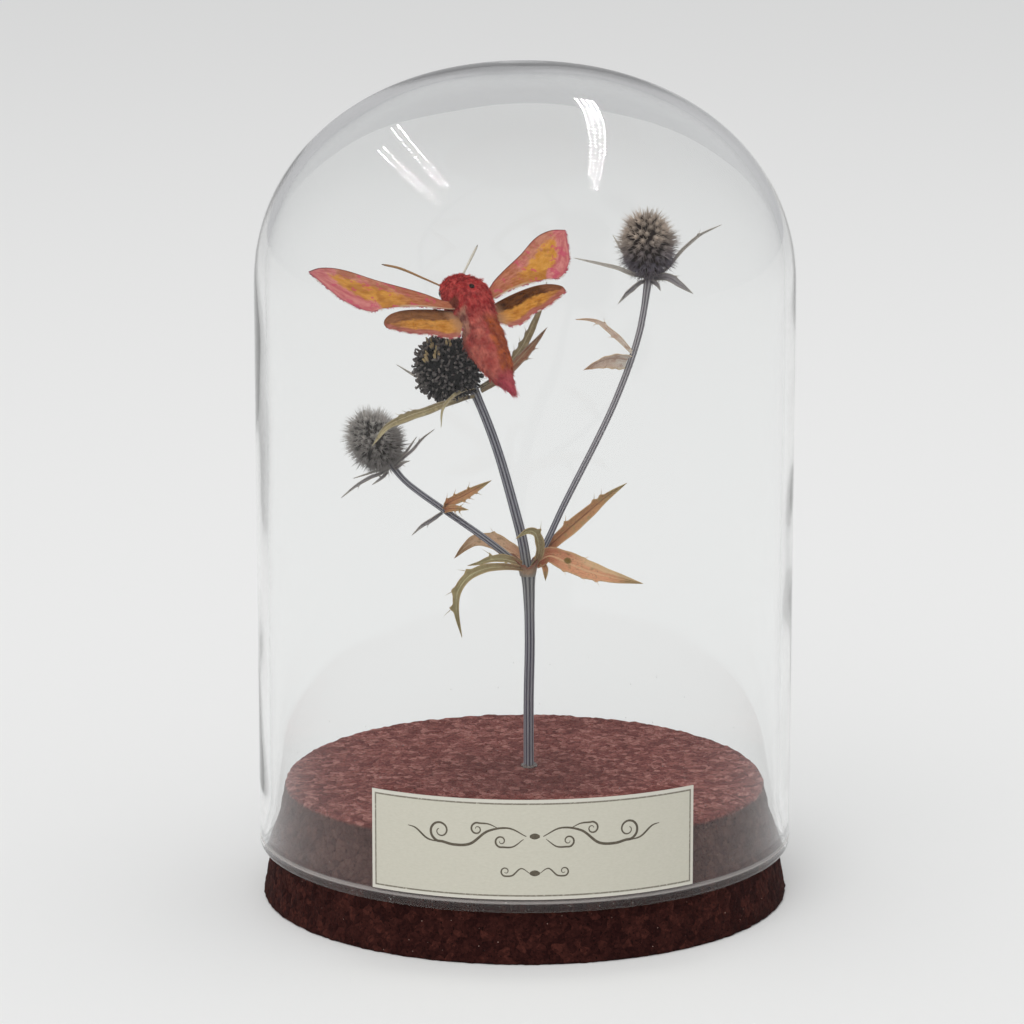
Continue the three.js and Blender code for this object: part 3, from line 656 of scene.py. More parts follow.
def glassFinish():
    finish = Finish("clearGlass", {
        "Base Color": (0.985, 0.99, 0.988, 1), "Roughness": 0.0, "IOR": 1.46, "Transmission Weight": 1.0,
        "Specular IOR Level": 0.1, "Specular Tint": (0.4, 0.4, 0.4, 1),
    })
    finish.relief(finish.noise(0.03, 1.0, 0.4), 1.2, 0.35)
    height = finish.along((0, 0, 1), (0, 0, dome["rim"]))
    # painted highlights: a bright line near the top of the lip, a fainter one at its foot and a faint
    # lighter band over the lower lip, shown by the white diffuse shader; the bubbles in the band are the
    # glass's own
    paintedRimHighlight = finish.band(height, 1.7, 2.0, 2.15, 2.5)
    foot = 1 - finish.step(height, 0.15, 0.5)
    lip = (1 - finish.step(height, 1.6, 2.4)) * 0.02 + paintedRimHighlight * 0.36 + foot * 0.1
    bubble = 1 - finish.step(finish.cells(0.9), 0.08, 0.13)
    lip = lip + bubble * finish.band(height, 0.4, 0.7, 1.5, 1.8) * 0.3
    speck = 1 - finish.step(finish.cells(0.45), 0.035, 0.06)
    speckOn = finish.patches(0.22, 0.0, 0.52, 0.6) * (1 - finish.step(height, 12, 60))
    specksAndPaintedHighlight = lip + speck * speckOn * 0.5
    glass = Wire(finish, finish.shader.outputs[0])
    # white diffuse shader for the dust specks and the painted highlights
    speckAndHighlightShader = finish.node("BsdfDiffuse", {}, {"Color": (0.78, 0.73, 0.7, 1)})
    clear = finish.node("BsdfTransparent", {}, {"Color": (0.96, 0.965, 0.962, 1)})
    solid = finish.node("MixShader", {}, {0: specksAndPaintedHighlight, 1: glass, 2: speckAndHighlightShader})
    shadow = finish.node("LightPath", {}, {}, "Is Shadow Ray")  # light falls through the glass
    surface = finish.node("MixShader", {}, {0: shadow, 1: solid, 2: clear})
    finish.tree.links.new(surface.socket, finish.tree.nodes["Material Output"].inputs["Surface"])
    return finish


def buildDome():
    glass = spun("glassCover", domeProfile(), dome["roundSteps"])
    dress(glass, glassFinish(), "dome_glass", "glass_dome")
    print("dome blown")


# label

labelLow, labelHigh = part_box("label_card")
label = {
    "from": -33.1,
    "to": 36.9,
    "bottom": labelLow.z / mm,
    "height": (labelHigh.z - labelLow.z) / mm,
    "lift": 0.08,
    "paper": 0.22,
    "rule": (0.62, 0.86),  # the ruled line, measured in from the edge
}
labelRadius = dome["radius"] + label["lift"]
labelWidth = math.radians(label["to"] - label["from"]) * labelRadius


def onLabel(across, up, lift):  # unrolled place on the card, wrapped round the glass
    angle = math.radians(label["from"]) + across / labelRadius
    reach = labelRadius + lift
    return np.stack([reach * np.sin(angle), -reach * np.cos(angle), label["bottom"] + up], 1)


def paperFinish():
    finish = Finish("creamCard", {"Roughness": 0.72, "Specular IOR Level": 0.35})
    x = finish.read("across")
    y = finish.read("up")
    inX = finish.maths("MINIMUM", x, labelWidth - x)
    inward = finish.maths("MINIMUM", inX, finish.maths("MINIMUM", y, label["height"] - y))
    fibre = finish.noise(1.4, 5.0, vector=finish.stretched((1, 1, 3)))
    paper = finish.mix(fibre, (197, 194, 178), (213, 210, 196))
    margin = finish.mix(finish.step(inward, 0.5, 0.7), (214, 211, 199), paper)
    low, high = label["rule"]
    ruled = finish.band(inward, low - 0.06, low, high, high + 0.06)
    worn = finish.step(finish.noise(3.0), 0.2, 0.5)
    finish.base(finish.mix(ruled * worn * 0.8, margin, (96, 88, 74)))
    finish.relief(fibre, 0.03, 0.5)
    return finish


def buildLabel():
    card = unitGrid("labelPaper", 72, 18)
    x, y, z = vertexPlaces(card).T
    mark(card, "across", (x + 1) / 2 * labelWidth)
    mark(card, "up", y * label["height"])
    reshape(card, lambda x, y, z: onLabel((x + 1) / 2 * labelWidth, y * label["height"], 0 * x))
    modify(card, "SOLIDIFY", thickness=label["paper"] * mm, offset=1)
    dress(card, paperFinish(), "label_paper", "label_card")
    print("label glued on")


# plain mirrored scrolls in place of writing


def spiral(x, y, radius, start, turns):
    points = []
    steps = int(abs(turns) * 9)
    for step in range(steps + 1):
        share = step / steps
        angle = math.radians(start) + turns * 2 * math.pi * share
        reach = radius * (1 - 0.78 * share)
        points.append((x + reach * math.cos(angle), y + reach * math.sin(angle)))
    return points


scrolls = [
    # height of the row, and its strokes: points, the spiral that ends it, width
    (11.7, [
        ([(1.5, 0), (4.6, 1.5), (8.3, 0.9), (11.6, -1.6), (14.6, -1.9), (16.6, -1.5)],
         (17.0, 0.5, 2.0, -70, 1.35), 0.5),
        ([(2.0, -0.5), (3.9, -1.9), (5.6, -2.0)], (6.0, -0.9, 1.1, -70, 1.2), 0.34),
        ([(6.6, 1.5), (8.2, 2.2), (9.8, 2.3)], (10.3, 1.2, 1.15, 80, -1.2), 0.34),
        ([(17.2, -1.6), (19.4, -1.2), (21.8, 0.6), (23.2, 0.9)], None, 0.36),
    ]),
    (4.9, [
        ([(0.9, 0), (2.4, 0.9), (4.0, -0.4)], (5.2, 0.35, 0.95, -110, 1.2), 0.3),
    ]),
]
lozenge = [(-0.9, 0), (0, 0.02), (0.9, 0)]


def inkFinish():
    finish = Finish("faintInk", {"Roughness": 0.6})
    finish.base(finish.mix(finish.noise(2.2), (60, 53, 44), (112, 103, 86)))
    return finish


def inkStroke(points, width, middle, side):
    path = Route([(side * x, y, 0) for x, y in points])
    stroke = unitGrid("stroke", 1, 10 * len(points))

    def place(x, y, z):
        centre, across, face = path.frame(y, (0, 0, 1))
        swell = width * (0.3 + 0.7 * np.sin(np.pi * y) ** 0.8)
        flat = centre + across * (x * swell / 2)[:, None]
        return onLabel(labelWidth / 2 + flat[:, 0], middle + flat[:, 1], label["paper"] + 0.01 + 0 * x)

    reshape(stroke, place)
    return stroke


def buildScrolls():
    strokes = []
    for middle, rows in scrolls:
        for points, ending, width in rows:
            points = points + (spiral(*ending) if ending else [])
            strokes += [inkStroke(points, width, middle, side) for side in (-1, 1)]
        strokes.append(inkStroke(lozenge, 1.1, middle, 1))
    dress(joined(strokes, "labelScroll"), inkFinish(), "label_paper")
    print("scrolls drawn")


# stalks

stalkBuild = {"sides": 54, "rings": 70, "ribDepth": 0.2}
stalks = {
    # radii are pairs of a share of the route and a radius there
    "mainStalk": {
        "node": "main_stem", "ribs": 9, "pale": 0.1,
        "radii": [(0, 1.0), (0.8, 1.0), (0.92, 1.22), (1, 1.6)],
        "route": [
            (0.8, 5.2, 14.7), (0.8, 5.2, 22.4), (0.8, 4.6, 35.3), (1, 4, 47.1), (0.8, 3.5, 57.8),
            (0.6, 3.2, 61.8),
        ],
    },
    "middleStalk": {
        "node": "middle_stem", "ribs": 8, "pale": 0.0,
        "radii": [(0, 0.98), (0.9, 0.86), (1, 0.95)],
        "route": [
            (0.5, 3.2, 61.2), (-0.4, 2.8, 66.7), (-2, 2, 73.2), (-4.7, 0.8, 83), (-6.9, 0, 89.5),
            (-9.7, -0.95, 96.5),
        ],
    },
    "leftStalk": {
        "node": "left_stem", "ribs": 7, "pale": 0.15,
        "radii": [(0, 0.66), (0.9, 0.57), (1, 0.7)],
        "route": [
            (0, 2.9, 61.2), (-7, 2, 67), (-11.5, 2.2, 70.2), (-15.2, 2.6, 72.7), (-22.4, 3.5, 78),
            (-25.1, 4, 81.2),
        ],
    },
    "rightStalk": {
        "node": "right_stem", "ribs": 7, "pale": 0.75,
        "radii": [(0, 0.62), (0.9, 0.66), (1, 0.85)],
        "route": [
            (1.2, 3.4, 60.9), (4.1, 4, 66.1), (7.2, 4.6, 72.7), (17.1, 5.6, 93), (21.5, 6, 105.9),
            (23.2, 6, 116.7),
        ],
    },
}


def stalkFinish():
    finish = Finish("dryStalk", {"Roughness": 0.5, "Specular IOR Level": 0.4})
    groove = finish.read("groove")
    streak = finish.noise(1.3, 4.0, vector=finish.stretched((3, 3, 0.25)))
    ridge = finish.mix(streak, (130, 130, 141), (187, 187, 192))
    # painted shade: the grooves are painted darker than the ridges; the pale and collar tones below keep
    # this
    dark = finish.mix(streak, (60, 58, 71), (98, 95, 109))
    depth = finish.step(groove + streak * 0.3, 0.4, 0.95)
    finish.base(finish.mix(depth, ridge, dark))
    height = finish.along((0, 0, 1), (0, 0, 60))
    paler = finish.read("pale") * finish.step(height, 4, 26)
    finish.coat(paler, finish.mix(depth, (196, 192, 194), (128, 123, 128)))
    collar = finish.mix(depth, (166, 168, 162), (108, 110, 108))
    finish.coat(finish.band(height, -13, -1, 1.5, 7) * 0.6, collar)
    finish.relief(streak - groove, 0.12, 0.5)
    return finish


def buildStalks():
    finish = stalkFinish()
    for name, stalk in stalks.items():
        shares, widths = zip(*stalk["radii"])
        piece = tubeAlong(
            name, stalk["route"], lambda z: np.interp(z, shares, widths), stalkBuild["sides"],
            stalkBuild["rings"], stalk["ribs"], stalkBuild["ribDepth"],
        )
        mark(piece, "pale", stalk["pale"])
        dress(piece, finish, "stem", stalk["node"])
    print("stalks set in the cork")


# skin of leaf bases round the fork

sheath = {
    "route": [(0.6, 3.3, 59.9), (0.55, 3.2, 61.6), (0.35, 3.0, 64.4)],
    "radii": [(0, 1.42), (0.3, 1.68), (0.6, 2.3), (1, 3.1)],
    "wall": 0.16,
}


def sheathFinish():
    finish = Finish("paperSheath", {"Roughness": 0.6})
    streak = finish.noise(1.2, 4.0, vector=finish.stretched((2.5, 2.5, 0.5)))
    finish.base(finish.mix(streak, (140, 106, 82), (190, 164, 136)))
    edge = finish.step(finish.read("along") + streak * 0.2, 0.75, 1.05)
    finish.coat(edge * 0.7, (150, 84, 62))
    foot = 1 - finish.step(finish.read("along"), 0.05, 0.4)
    finish.coat(foot * 0.75, (150, 150, 142))
    finish.relief(streak, 0.15, 0.6)
    return finish


def buildSheath():
    cup = unitTube("nodeSheath", 60, 16)
    pick(cup, "polygons", lambda face: len(face.vertices) > 4)
    bpy.ops.mesh.delete(type="FACE")
    bpy.ops.object.mode_set(mode="OBJECT")
    path = Route(sheath["route"])
    shares, widths = zip(*sheath["radii"])
    x, y, z = vertexPlaces(cup).T
    mark(cup, "along", z)

    def place(x, y, z):
        angle = np.arctan2(y, x)
        sideways = np.abs(np.cos(angle)) ** 1.3
        ragged = 0.05 * np.sin(angle * 7 + 1) + 0.03 * np.sin(angle * 13)
        share = z * (0.42 + 0.5 * sideways + ragged)
        reach = np.interp(share, shares, widths) * (1 + 0.05 * np.sin(angle * 5) * share)
        centre = path.at(share)
        out = np.stack([np.cos(angle), np.sin(angle), 0 * angle], 1)
        return centre + out * reach[:, None]

    reshape(cup, place)
    modify(cup, "SOLIDIFY", thickness=sheath["wall"] * mm, offset=0)
    dress(cup, sheathFinish(), "dry_leaf")
    print("sheath wrapped round the fork")


# glue round the foot of the stalk

glue = {"ring": 1.2, "thick": 0.42, "lift": 0.08, "dripSize": 0.9, "drip": 0.6}


def buildGlue():
    x, y = cork["hole"][:2]
    middle = Vector((x, y, cork["height"] + glue["lift"])) * mm
    bpy.ops.mesh.primitive_torus_add(
        major_segments=48, minor_segments=14, major_radius=glue["ring"] * mm,
        minor_radius=glue["thick"] * mm, location=middle,
    )
    bead = bpy.context.active_object
    bpy.ops.object.transform_apply()
    drips = grain("drips", "CLOUDS", glue["dripSize"])
    modify(bead, "DISPLACE", texture=drips, strength=glue["drip"] * mm, texture_coords="LOCAL")
    bead.name = "glueRing"
    finish = Finish("clearGlue", {"Roughness": 0.12, "IOR": 1.45, "Transmission Weight": 0.65})
    cloud = finish.noise(1.5)
    finish.base(finish.mix(cloud, (150, 116, 106), (214, 208, 200)))
    dress(bead, finish, "clear_glue", "glue_bead")
    print("glue dried")


# leaves and bracts: tone, (half width, where it is widest, how wide its base is), the way its face looks,
# how far its edges curl, teeth as share, side and reach, and route

leaves = {
    "leaf_right_lower": ("rosyLeaf", (1.95, 0.4, 0.55), (0.1, -0.85, 0.5), 0.25,
        [(0.33, 1, 0.7), (0.5, 1, 0.4), (0.62, 1, 1.0), (0.45, -1, 0.4)],
        [(2.2, 2.6, 62.4), (4.6, 2, 63.9), (7.4, 0.8, 63.1), (11.6, 0, 61.5), (16.4, -1, 60.4),
         (22, -1.5, 59.4)]),
    "leaf_right_upper": ("tanLeaf", (1.3, 0.45, 0.45), (0.5, -0.8, 0.3), 0.2,
        [(0.4, -1, 1.2), (0.7, -1, 1.1), (0.77, -1, 1.1)],
        [(2.3, 4.2, 62.9), (4.3, 4.9, 64.9), (8, 5, 68.3), (12, 5.5, 71.7), (15.6, 6, 74.6),
         (19.2, 6.5, 76.9)]),
    "leaf_front_curled": ("oliveLeaf", (1.0, 0.45, 0.5), (0.5, -0.8, 0.2), 0.3, [(0.66, 1, 1.8)],
        [(1.4, 2.3, 62), (2.5, 0.4, 64.6), (2.5, -0.8, 67.2), (1.7, -1.8, 69.3), (0.4, -2.4, 69.6),
         (-1.6, -2.8, 68.3)]),
    "leaf_left_back": ("blushLeaf", (1.7, 0.35, 0.7), (0.1, -0.8, 0.6), 0.25, [(0.5, 1, 1.0)],
        [(0, 4.4, 62.2), (-3.3, 6.6, 63.9), (-6.2, 8, 65.3), (-9.4, 8.5, 65.3), (-11.3, 9, 64),
         (-13.3, 9, 62)]),
    "leaf_left_forked": ("oliveLeaf", (0.85, 0.35, 0.7), (0.1, -0.75, 0.65), 0.35,
        [(0.62, 1, 1.9), (0.4, -1, 1.0), (0.8, -1, 0.6)],
        [(-0.5, 2.3, 62.2), (-4, -0.3, 63.8), (-6.6, -1.6, 63.9), (-8.6, -2.2, 63.4), (-10.6, -2.6, 63.1)]),
    "leaf_left_drooping": ("oliveLeaf", (0.84, 0.5, 0.45), (-0.2, -0.85, 0.45), 0.25,
        [(0.5, 1, 1.5), (0.66, 1, 1.4), (0.78, 1, 2.1)],
        [(-0.4, 2, 61.4), (-4, -1.6, 62.6), (-7.6, -3.6, 62.6), (-10.6, -5, 61.3), (-12.4, -5.8, 58.8),
         (-12.7, -6, 55.6), (-11.7, -5.5, 50)]),
    "leaf_small_spike": ("tanLeaf", (0.5, 0.4, 0.8), (0.1, -1, 0.2), 0.3, [],
        [(3.3, 2.1, 62.5), (3.8, 1.7, 61.7), (3.9, 1.4, 60.7), (3.9, 1.2, 59.5)]),
    "left_stem_leaf_upper": ("tanLeaf", (0.85, 0.45, 0.6), (0.4, -0.8, 0.3), 0.3,
        [(0.2, -1, 0.9), (0.35, -1, 0.9), (0.45, 1, 1.0), (0.55, 1, 0.7), (0.62, -1, 0.9), (0.7, 1, 0.8)],
        [(-15, 2.3, 73.2), (-14.3, 1.2, 74.2), (-11.9, 0.2, 75.6), (-9.2, -0.4, 77.2), (-6.3, -1, 78.9)]),
    "left_stem_leaf_lower": ("tanLeaf", (0.65, 0.4, 0.6), (0, -0.9, 0.4), 0.3,
        [(0.6, 1, 1.0), (0.75, 1, 1.2), (0.75, -1, 0.5)],
        [(-14.9, 2, 72.6), (-14.1, 0.8, 73.2), (-12.6, -0.3, 73.5), (-10.6, -1, 73.4)]),
    "left_stem_leaf_down": ("greyBract", (0.4, 0.4, 0.7), (0.2, -0.9, -0.2), 0.4, [(0.5, -1, 0.4)],
        [(-15.5, 2.4, 72.2), (-17.6, 1.2, 71), (-19.2, 0.6, 70.1), (-21, 0, 68.4)]),
    "right_stem_leaf_lower": ("paleLeaf", (1.9, 0.2, 0.9), (0, -0.85, -0.5), 0.35, [],
        [(19.2, 5.4, 100.7), (17.4, 4.7, 101.1), (15.2, 3.9, 101), (12.9, 3, 100.2), (11, 2.4, 99.2)]),
    "right_stem_leaf_upper": ("paleLeaf", (0.5, 0.35, 0.5), (0.3, -0.9, 0.3), 0.4,
        [(0.4, -1, 0.7), (0.6, 1, 0.7), (0.7, -1, 0.6)],
        [(20, 5.5, 101.9), (17.6, 5, 104.5), (15.7, 4.5, 106.2), (13.7, 4, 107.8), (11.5, 3.5, 108.4),
         (9.5, 3, 108.5)]),
    "right_head_bract_left": ("paleBract", (0.38, 0.3, 0.7), (0, -0.85, 0.5), 0.4, [],
        [(22.2, 5.2, 116.2), (19.8, 4.2, 116.9), (17.4, 3.5, 118), (13.9, 3, 119), (9.1, 2.5, 120.2)]),
    "right_head_bract_up": ("paleBract", (0.38, 0.5, 0.6), (0.5, -0.8, -0.3), 0.4, [(0.72, -1, 0.7)],
        [(24.3, 6.6, 116.4), (26.5, 7.2, 117.6), (29, 8, 120.6), (32.6, 9, 123.6), (36.7, 9.5, 125.4)]),
    "right_head_bract_down": ("greyBract", (0.72, 0.45, 0.55), (0.1, -0.9, 0.3), 0.35, [(0.5, -1, 0.5)],
        [(24, 5.2, 115.9), (25.6, 4.4, 116.3), (26.9, 3.8, 116.2), (28.9, 3, 115), (31.2, 2.4, 113.5)]),
    "right_head_bract_low": ("greyBract", (0.5, 0.5, 0.6), (0.3, -0.9, -0.2), 0.4, [],
        [(22.3, 5, 115.5), (21.2, 4, 115.3), (20.1, 3, 114.6), (18.9, 2, 113.7), (17.3, 1, 111.8)]),
    "right_head_bract_back": ("paleBract", (0.4, 0.4, 0.6), (0, -0.6, 0.8), 0.4, [],
        [(22.8, 6.6, 115.9), (20.6, 10.4, 117.2), (18.6, 12.8, 119.6), (16.6, 14.6, 122.8)]),
    "right_head_bract_small": ("greyBract", (0.4, 0.4, 0.7), (0, -1, 0), 0.4, [],
        [(23.6, 5.1, 115.4), (24.2, 4.3, 115.3), (24.8, 3.8, 114.7), (25.2, 3.6, 113.9)]),
    "left_head_bract_long": ("greyBract", (0.3, 0.4, 0.7), (0, -0.9, 0.4), 0.4, [(0.65, -1, 0.4)],
        [(-25.5, 3.3, 80.2), (-27.2, 2.4, 79.5), (-28.9, 1.5, 79), (-31.8, 0, 77.5), (-34.2, -1, 75.7)]),
    "left_head_bract_right": ("greyBract", (0.3, 0.45, 0.7), (0.4, -0.9, -0.2), 0.4, [(0.7, -1, 0.4)],
        [(-24.6, 3.2, 80.8), (-23.2, 2.4, 82.3), (-21, 1.7, 84.3), (-19.1, 1.3, 86.5), (-16.9, 1, 88.2)]),
    "left_head_bract_back": ("greyBract", (0.22, 0.4, 0.8), (0.3, -0.9, 0), 0.4, [],
        [(-24.3, 4.8, 81.2), (-23, 6, 82.2), (-22, 7, 83.3), (-20.4, 8.2, 85.4)]),
    "left_head_bract_front": ("greyBract", (0.28, 0.4, 0.8), (0.2, -0.9, 0.3), 0.4, [(0.6, 1, 0.5)],
        [(-24.3, 3.2, 80.4), (-23.4, 2.2, 81.2), (-22.6, 1.3, 81.9), (-21.4, 0.5, 82.4)]),
    "left_head_bract_low": ("greyBract", (0.26, 0.4, 0.8), (0, -0.9, 0.4), 0.4, [(0.5, 1, 0.7)],
        [(-25.7, 3.2, 79.7), (-26.4, 2.1, 79.1), (-27.2, 1.3, 78.6), (-28.4, 0.6, 77.9)]),
    "left_head_bract_thin": ("paleBract", (0.17, 0.4, 0.8), (0, -0.9, 0.4), 0.4, [],
        [(-25.4, 4.4, 80.2), (-28.2, 6, 79.3), (-30, 7, 78.5), (-32.4, 7.8, 77.6)]),
    "middle_head_bract_long": ("oliveBract", (0.82, 0.6, 0.45), (-0.1, -0.9, -0.3), 0.35,
        [(0.55, 1, 0.6), (0.6, 1, 0.7), (0.66, 1, 0.8)],
        [(-9.4, -2.2, 95.2), (-11.6, -4, 95.1), (-14.6, -5.6, 94.5), (-17.9, -6.5, 93.4), (-21.6, -7, 92.2),
         (-25.2, -7, 90.4), (-28.1, -6, 86.5)]),
    "middle_head_bract_hooked": ("oliveBract", (0.42, 0.4, 0.7), (-0.5, -0.8, 0.3), 0.35, [],
        [(-9.4, -2.4, 96.4), (-11, -4.9, 96.6), (-13.2, -7.4, 95.9), (-15, -9, 93.9), (-15.4, -9.2, 90.6)]),
    "middle_head_bract_back": ("paleBract", (0.4, 0.4, 0.6), (0, -0.8, 0.6), 0.4, [],
        [(-10.4, 0.4, 96), (-12, 3.6, 95), (-15.8, 6.6, 95.5), (-20, 7.2, 96.9), (-23.9, 7, 99.3)]),
    "middle_head_bract_right": ("oliveBract", (0.78, 0.45, 0.55), (0.4, -0.85, 0), 0.35,
        [(0.3, -1, 0.9), (0.38, -1, 1.1), (0.46, -1, 1.0), (0.55, -1, 0.8)],
        [(-8.4, 0, 96.3), (-5.6, 2.2, 97.7), (-3.2, 4.2, 99.8), (-0.7, 6.5, 102.7), (1.4, 9, 106.4),
         (3, 12, 109.6), (4.2, 16, 113.6)]),
    "middle_head_bract_short": ("rustBract", (0.86, 0.6, 0.4), (0.5, -0.85, 0), 0.35,
        [(0.62, 1, 0.9), (0.55, -1, 0.6), (0.75, 1, 0.6)],
        [(-8.2, -1.4, 95.9), (-5.4, -0.7, 97.7), (-2.8, 0.6, 99.8), (0.6, 2, 103.2), (4.1, 3, 107)]),
}

leafTones = {
    # base, middle, tip, midrib
    "rosyLeaf": ((164, 86, 56), (226, 164, 126), (150, 126, 80), (232, 190, 148)),
    "blushLeaf": ((204, 148, 116), (222, 184, 150), (128, 92, 46), (234, 206, 172)),
    "tanLeaf": ((190, 120, 82), (204, 152, 106), (162, 150, 104), (134, 76, 54)),
    "oliveLeaf": ((156, 118, 84), (160, 146, 104), (144, 136, 94), (216, 208, 168)),
    "paleLeaf": ((240, 232, 220), (230, 206, 188), (186, 138, 108), (202, 162, 142)),
    "greyBract": ((128, 123, 128), (162, 156, 158), (188, 183, 178), (84, 79, 84)),
    "paleBract": ((166, 156, 152), (206, 198, 190), (220, 214, 206), (122, 112, 106)),
    "oliveBract": ((108, 88, 62), (178, 160, 120), (216, 202, 158), (240, 228, 188)),
    "rustBract": ((142, 124, 96), (172, 116, 88), (144, 96, 72), (202, 182, 144)),
}

leafBuild = {
    "across": 12,
    "along": 72,
    "thickness": 0.13,
    "keel": 0.25,
    "needle": 0.07,
    "tipNeedle": 0.09,
    "toothWidth": 0.035,
    "spot": (0.31, 0.2),  # along and across, on the lower right leaf
}


def leafFinish(name, tones):
    base, middle, tip, rib = tones
    finish = Finish(name, {"Roughness": 0.6, "Specular IOR Level": 0.3})
    along = finish.read("along")
    signed = finish.read("across")
    across = finish.maths("ABSOLUTE", signed)
    blotch = finish.noise(0.5, 4.0, 0.6)
    vector = finish.node("CombineXYZ", {}, {0: along * 5.0, 1: signed * 7.0, 2: finish.read("seed")})
    streak = finish.noise(1.6, 5.0, 0.6, vector)
    finish.base(finish.mix(finish.step(along + blotch * 0.3, 0.15, 0.6), base, middle))
    finish.coat(finish.step(along + blotch * 0.35, 0.8, 1.15), tip)
    finish.coat(finish.step(streak, 0.5, 0.7) * 0.6, rib)
    finish.coat((1 - finish.step(streak, 0.3, 0.48)) * 0.6, base)
    patch = finish.patches(0.9, 3.0, 0.52, 0.68)
    finish.coat(patch * 0.55, tip)
    midrib = 1 - finish.step(across, 0.04, 0.16)
    finish.coat(midrib * 0.7, rib)
    # a pale rim along the edges: partly the dry margin's own colour, partly a painted highlight
    edge = finish.step(across + blotch * 0.15, 0.88, 1.05)
    rim = (216, 188, 142) if "Leaf" in name else (188, 180, 162)
    finish.coat(edge * 0.6, rim)
    speckle = finish.patches(3.6, 2.0, 0.58, 0.7)
    speckled = 0.2 if name == "paleLeaf" else 0.6
    finish.coat(speckle * speckled, (118, 82, 58) if "Leaf" in name else (86, 78, 72))
    if name == "rosyLeaf":
        rolled = finish.step(signed + blotch * 0.3, 0.45, 0.75) * finish.step(along, 0.3, 0.55)
        finish.coat(rolled * 0.75, (236, 206, 160))
        spotAlong = (along - leafBuild["spot"][0]) * 12.5
        spotAcross = (signed - leafBuild["spot"][1]) * 1.35
        away = spotAlong * spotAlong + spotAcross * spotAcross
        spot = (1 - finish.step(away + blotch * 0.1, 0.12, 0.3)) * finish.read("spotted")
        finish.coat(spot * 0.9, (112, 94, 34))
    finish.relief(streak * 0.7 + midrib * 0.7 + blotch, 0.14, 0.7)
    return finish


def buildLeaf(name, shape, facing, curl, teeth, route, needle):
    halfWidth, widest, base = shape
    path = Route(route)
    blade = unitGrid(name, leafBuild["across"], leafBuild["along"])
    x, y, z = vertexPlaces(blade).T
    mark(blade, "along", y)
    mark(blade, "across", x)
    mark(blade, "seed", chance.uniform(0, 40))
    mark(blade, "spotted", float(name.endswith("right_lower")))
    wave = chance.uniform(0, 6)

    def halfAt(share):
        rise = np.sin(np.minimum(share / widest, 1) * np.pi / 2)
        fall = np.maximum((share - widest) / (1 - widest), 0)
        return halfWidth * (base + (1 - base) * rise) * (1 - fall ** 1.5) + 0.02

    def place(x, y, z):
        centre, side, face = path.frame(y, facing)
        half = halfAt(y)
        reach = half.copy()
        for share, hand, tooth in teeth:
            lobe = np.clip(1 - np.abs(y - share + 0.012) / leafBuild["toothWidth"], 0, 1) ** 1.6
            reach += np.where(x * -hand > 0, lobe * tooth * 0.45, 0)
        bend = leafBuild["keel"] * np.abs(x) + curl * np.abs(x) ** 3
        ripple = 0.08 * np.sin(y * 26 + wave + np.sign(x)) * np.abs(x) ** 2
        return centre + side * (x * reach)[:, None] + face * ((bend + ripple) * half)[:, None]

    reshape(blade, place)
    modify(blade, "SOLIDIFY", thickness=leafBuild["thickness"] * mm, offset=0)
    pieces = [blade]
    for share, hand, tooth in teeth:
        centre, side, face = path.frame(share, facing)
        half = float(halfAt(np.array(share)))
        edge = centre - side * hand * (half + tooth * 0.3) + face * half * (leafBuild["keel"] + curl)
        way = -side * hand * 0.75 + path.tangent(share) * 0.65
        marks = {"along": share + 0.25, "across": 0.9}
        pieces.append(needleAt(needle, edge, way, tooth * 0.75 + 0.45, leafBuild["needle"], **marks))
    length, radius = 0.03 * path.length + 0.25, leafBuild["tipNeedle"]
    pieces.append(needleAt(needle, path.at(0.97), path.tangent(1.0), length, radius, along=1.0, across=0.4))
    return joined(pieces, name)


def buildLeaves(needle):
    finishes = {tone: leafFinish(tone, colours) for tone, colours in leafTones.items()}
    for node, (tone, *form) in leaves.items():
        piece = buildLeaf("blade." + node, *form, needle)
        dress(piece, finishes[tone], "bract" if "Bract" in tone else "dry_leaf", node)
    print("leaves and bracts done")


# flower heads

heads = {
    "leftHead": {
        "node": "left_flower_head", "slot": "grey_flower",
        "centre": (-28, 4, 85.4), "apex": (-0.55, 0, 0.84), "along": 4.5, "across": 3.3,
        "tones": ((182, 176, 172), (240, 234, 228), (54, 48, 44)),
        "florets": 180, "jitter": 0.11, "bald": 10, "whiskers": 46,
        "knob": 0.43, "tall": 1.48, "spine": 2.0, "spikes": 15,
    },
    "rightHead": {
        "node": "right_flower_head", "slot": "pale_flower",
        "centre": (22.8, 6, 122.1), "apex": (-0.1, 0, 1), "along": 4.85, "across": 3.45,
        "tones": ((142, 135, 147), (244, 226, 209), (54, 42, 36)),
        "florets": 140, "jitter": 0.11, "bald": 8, "whiskers": 46,
        "knob": 0.55, "tall": 1.72, "spine": 2.0, "spikes": 16,
    },
    "middleHead": {
        "node": "middle_flower_head", "slot": "dark_flower",
        "centre": (-14.4, -2, 100.3), "apex": (-0.72, -0.15, 0.68), "along": 4.7, "across": 4.6,
        "tones": ((66, 60, 64), (132, 124, 121), (8, 6, 7)),
        "florets": 190, "jitter": 0.16, "bald": 14, "whiskers": 90, "spikes": 0,
    },
}


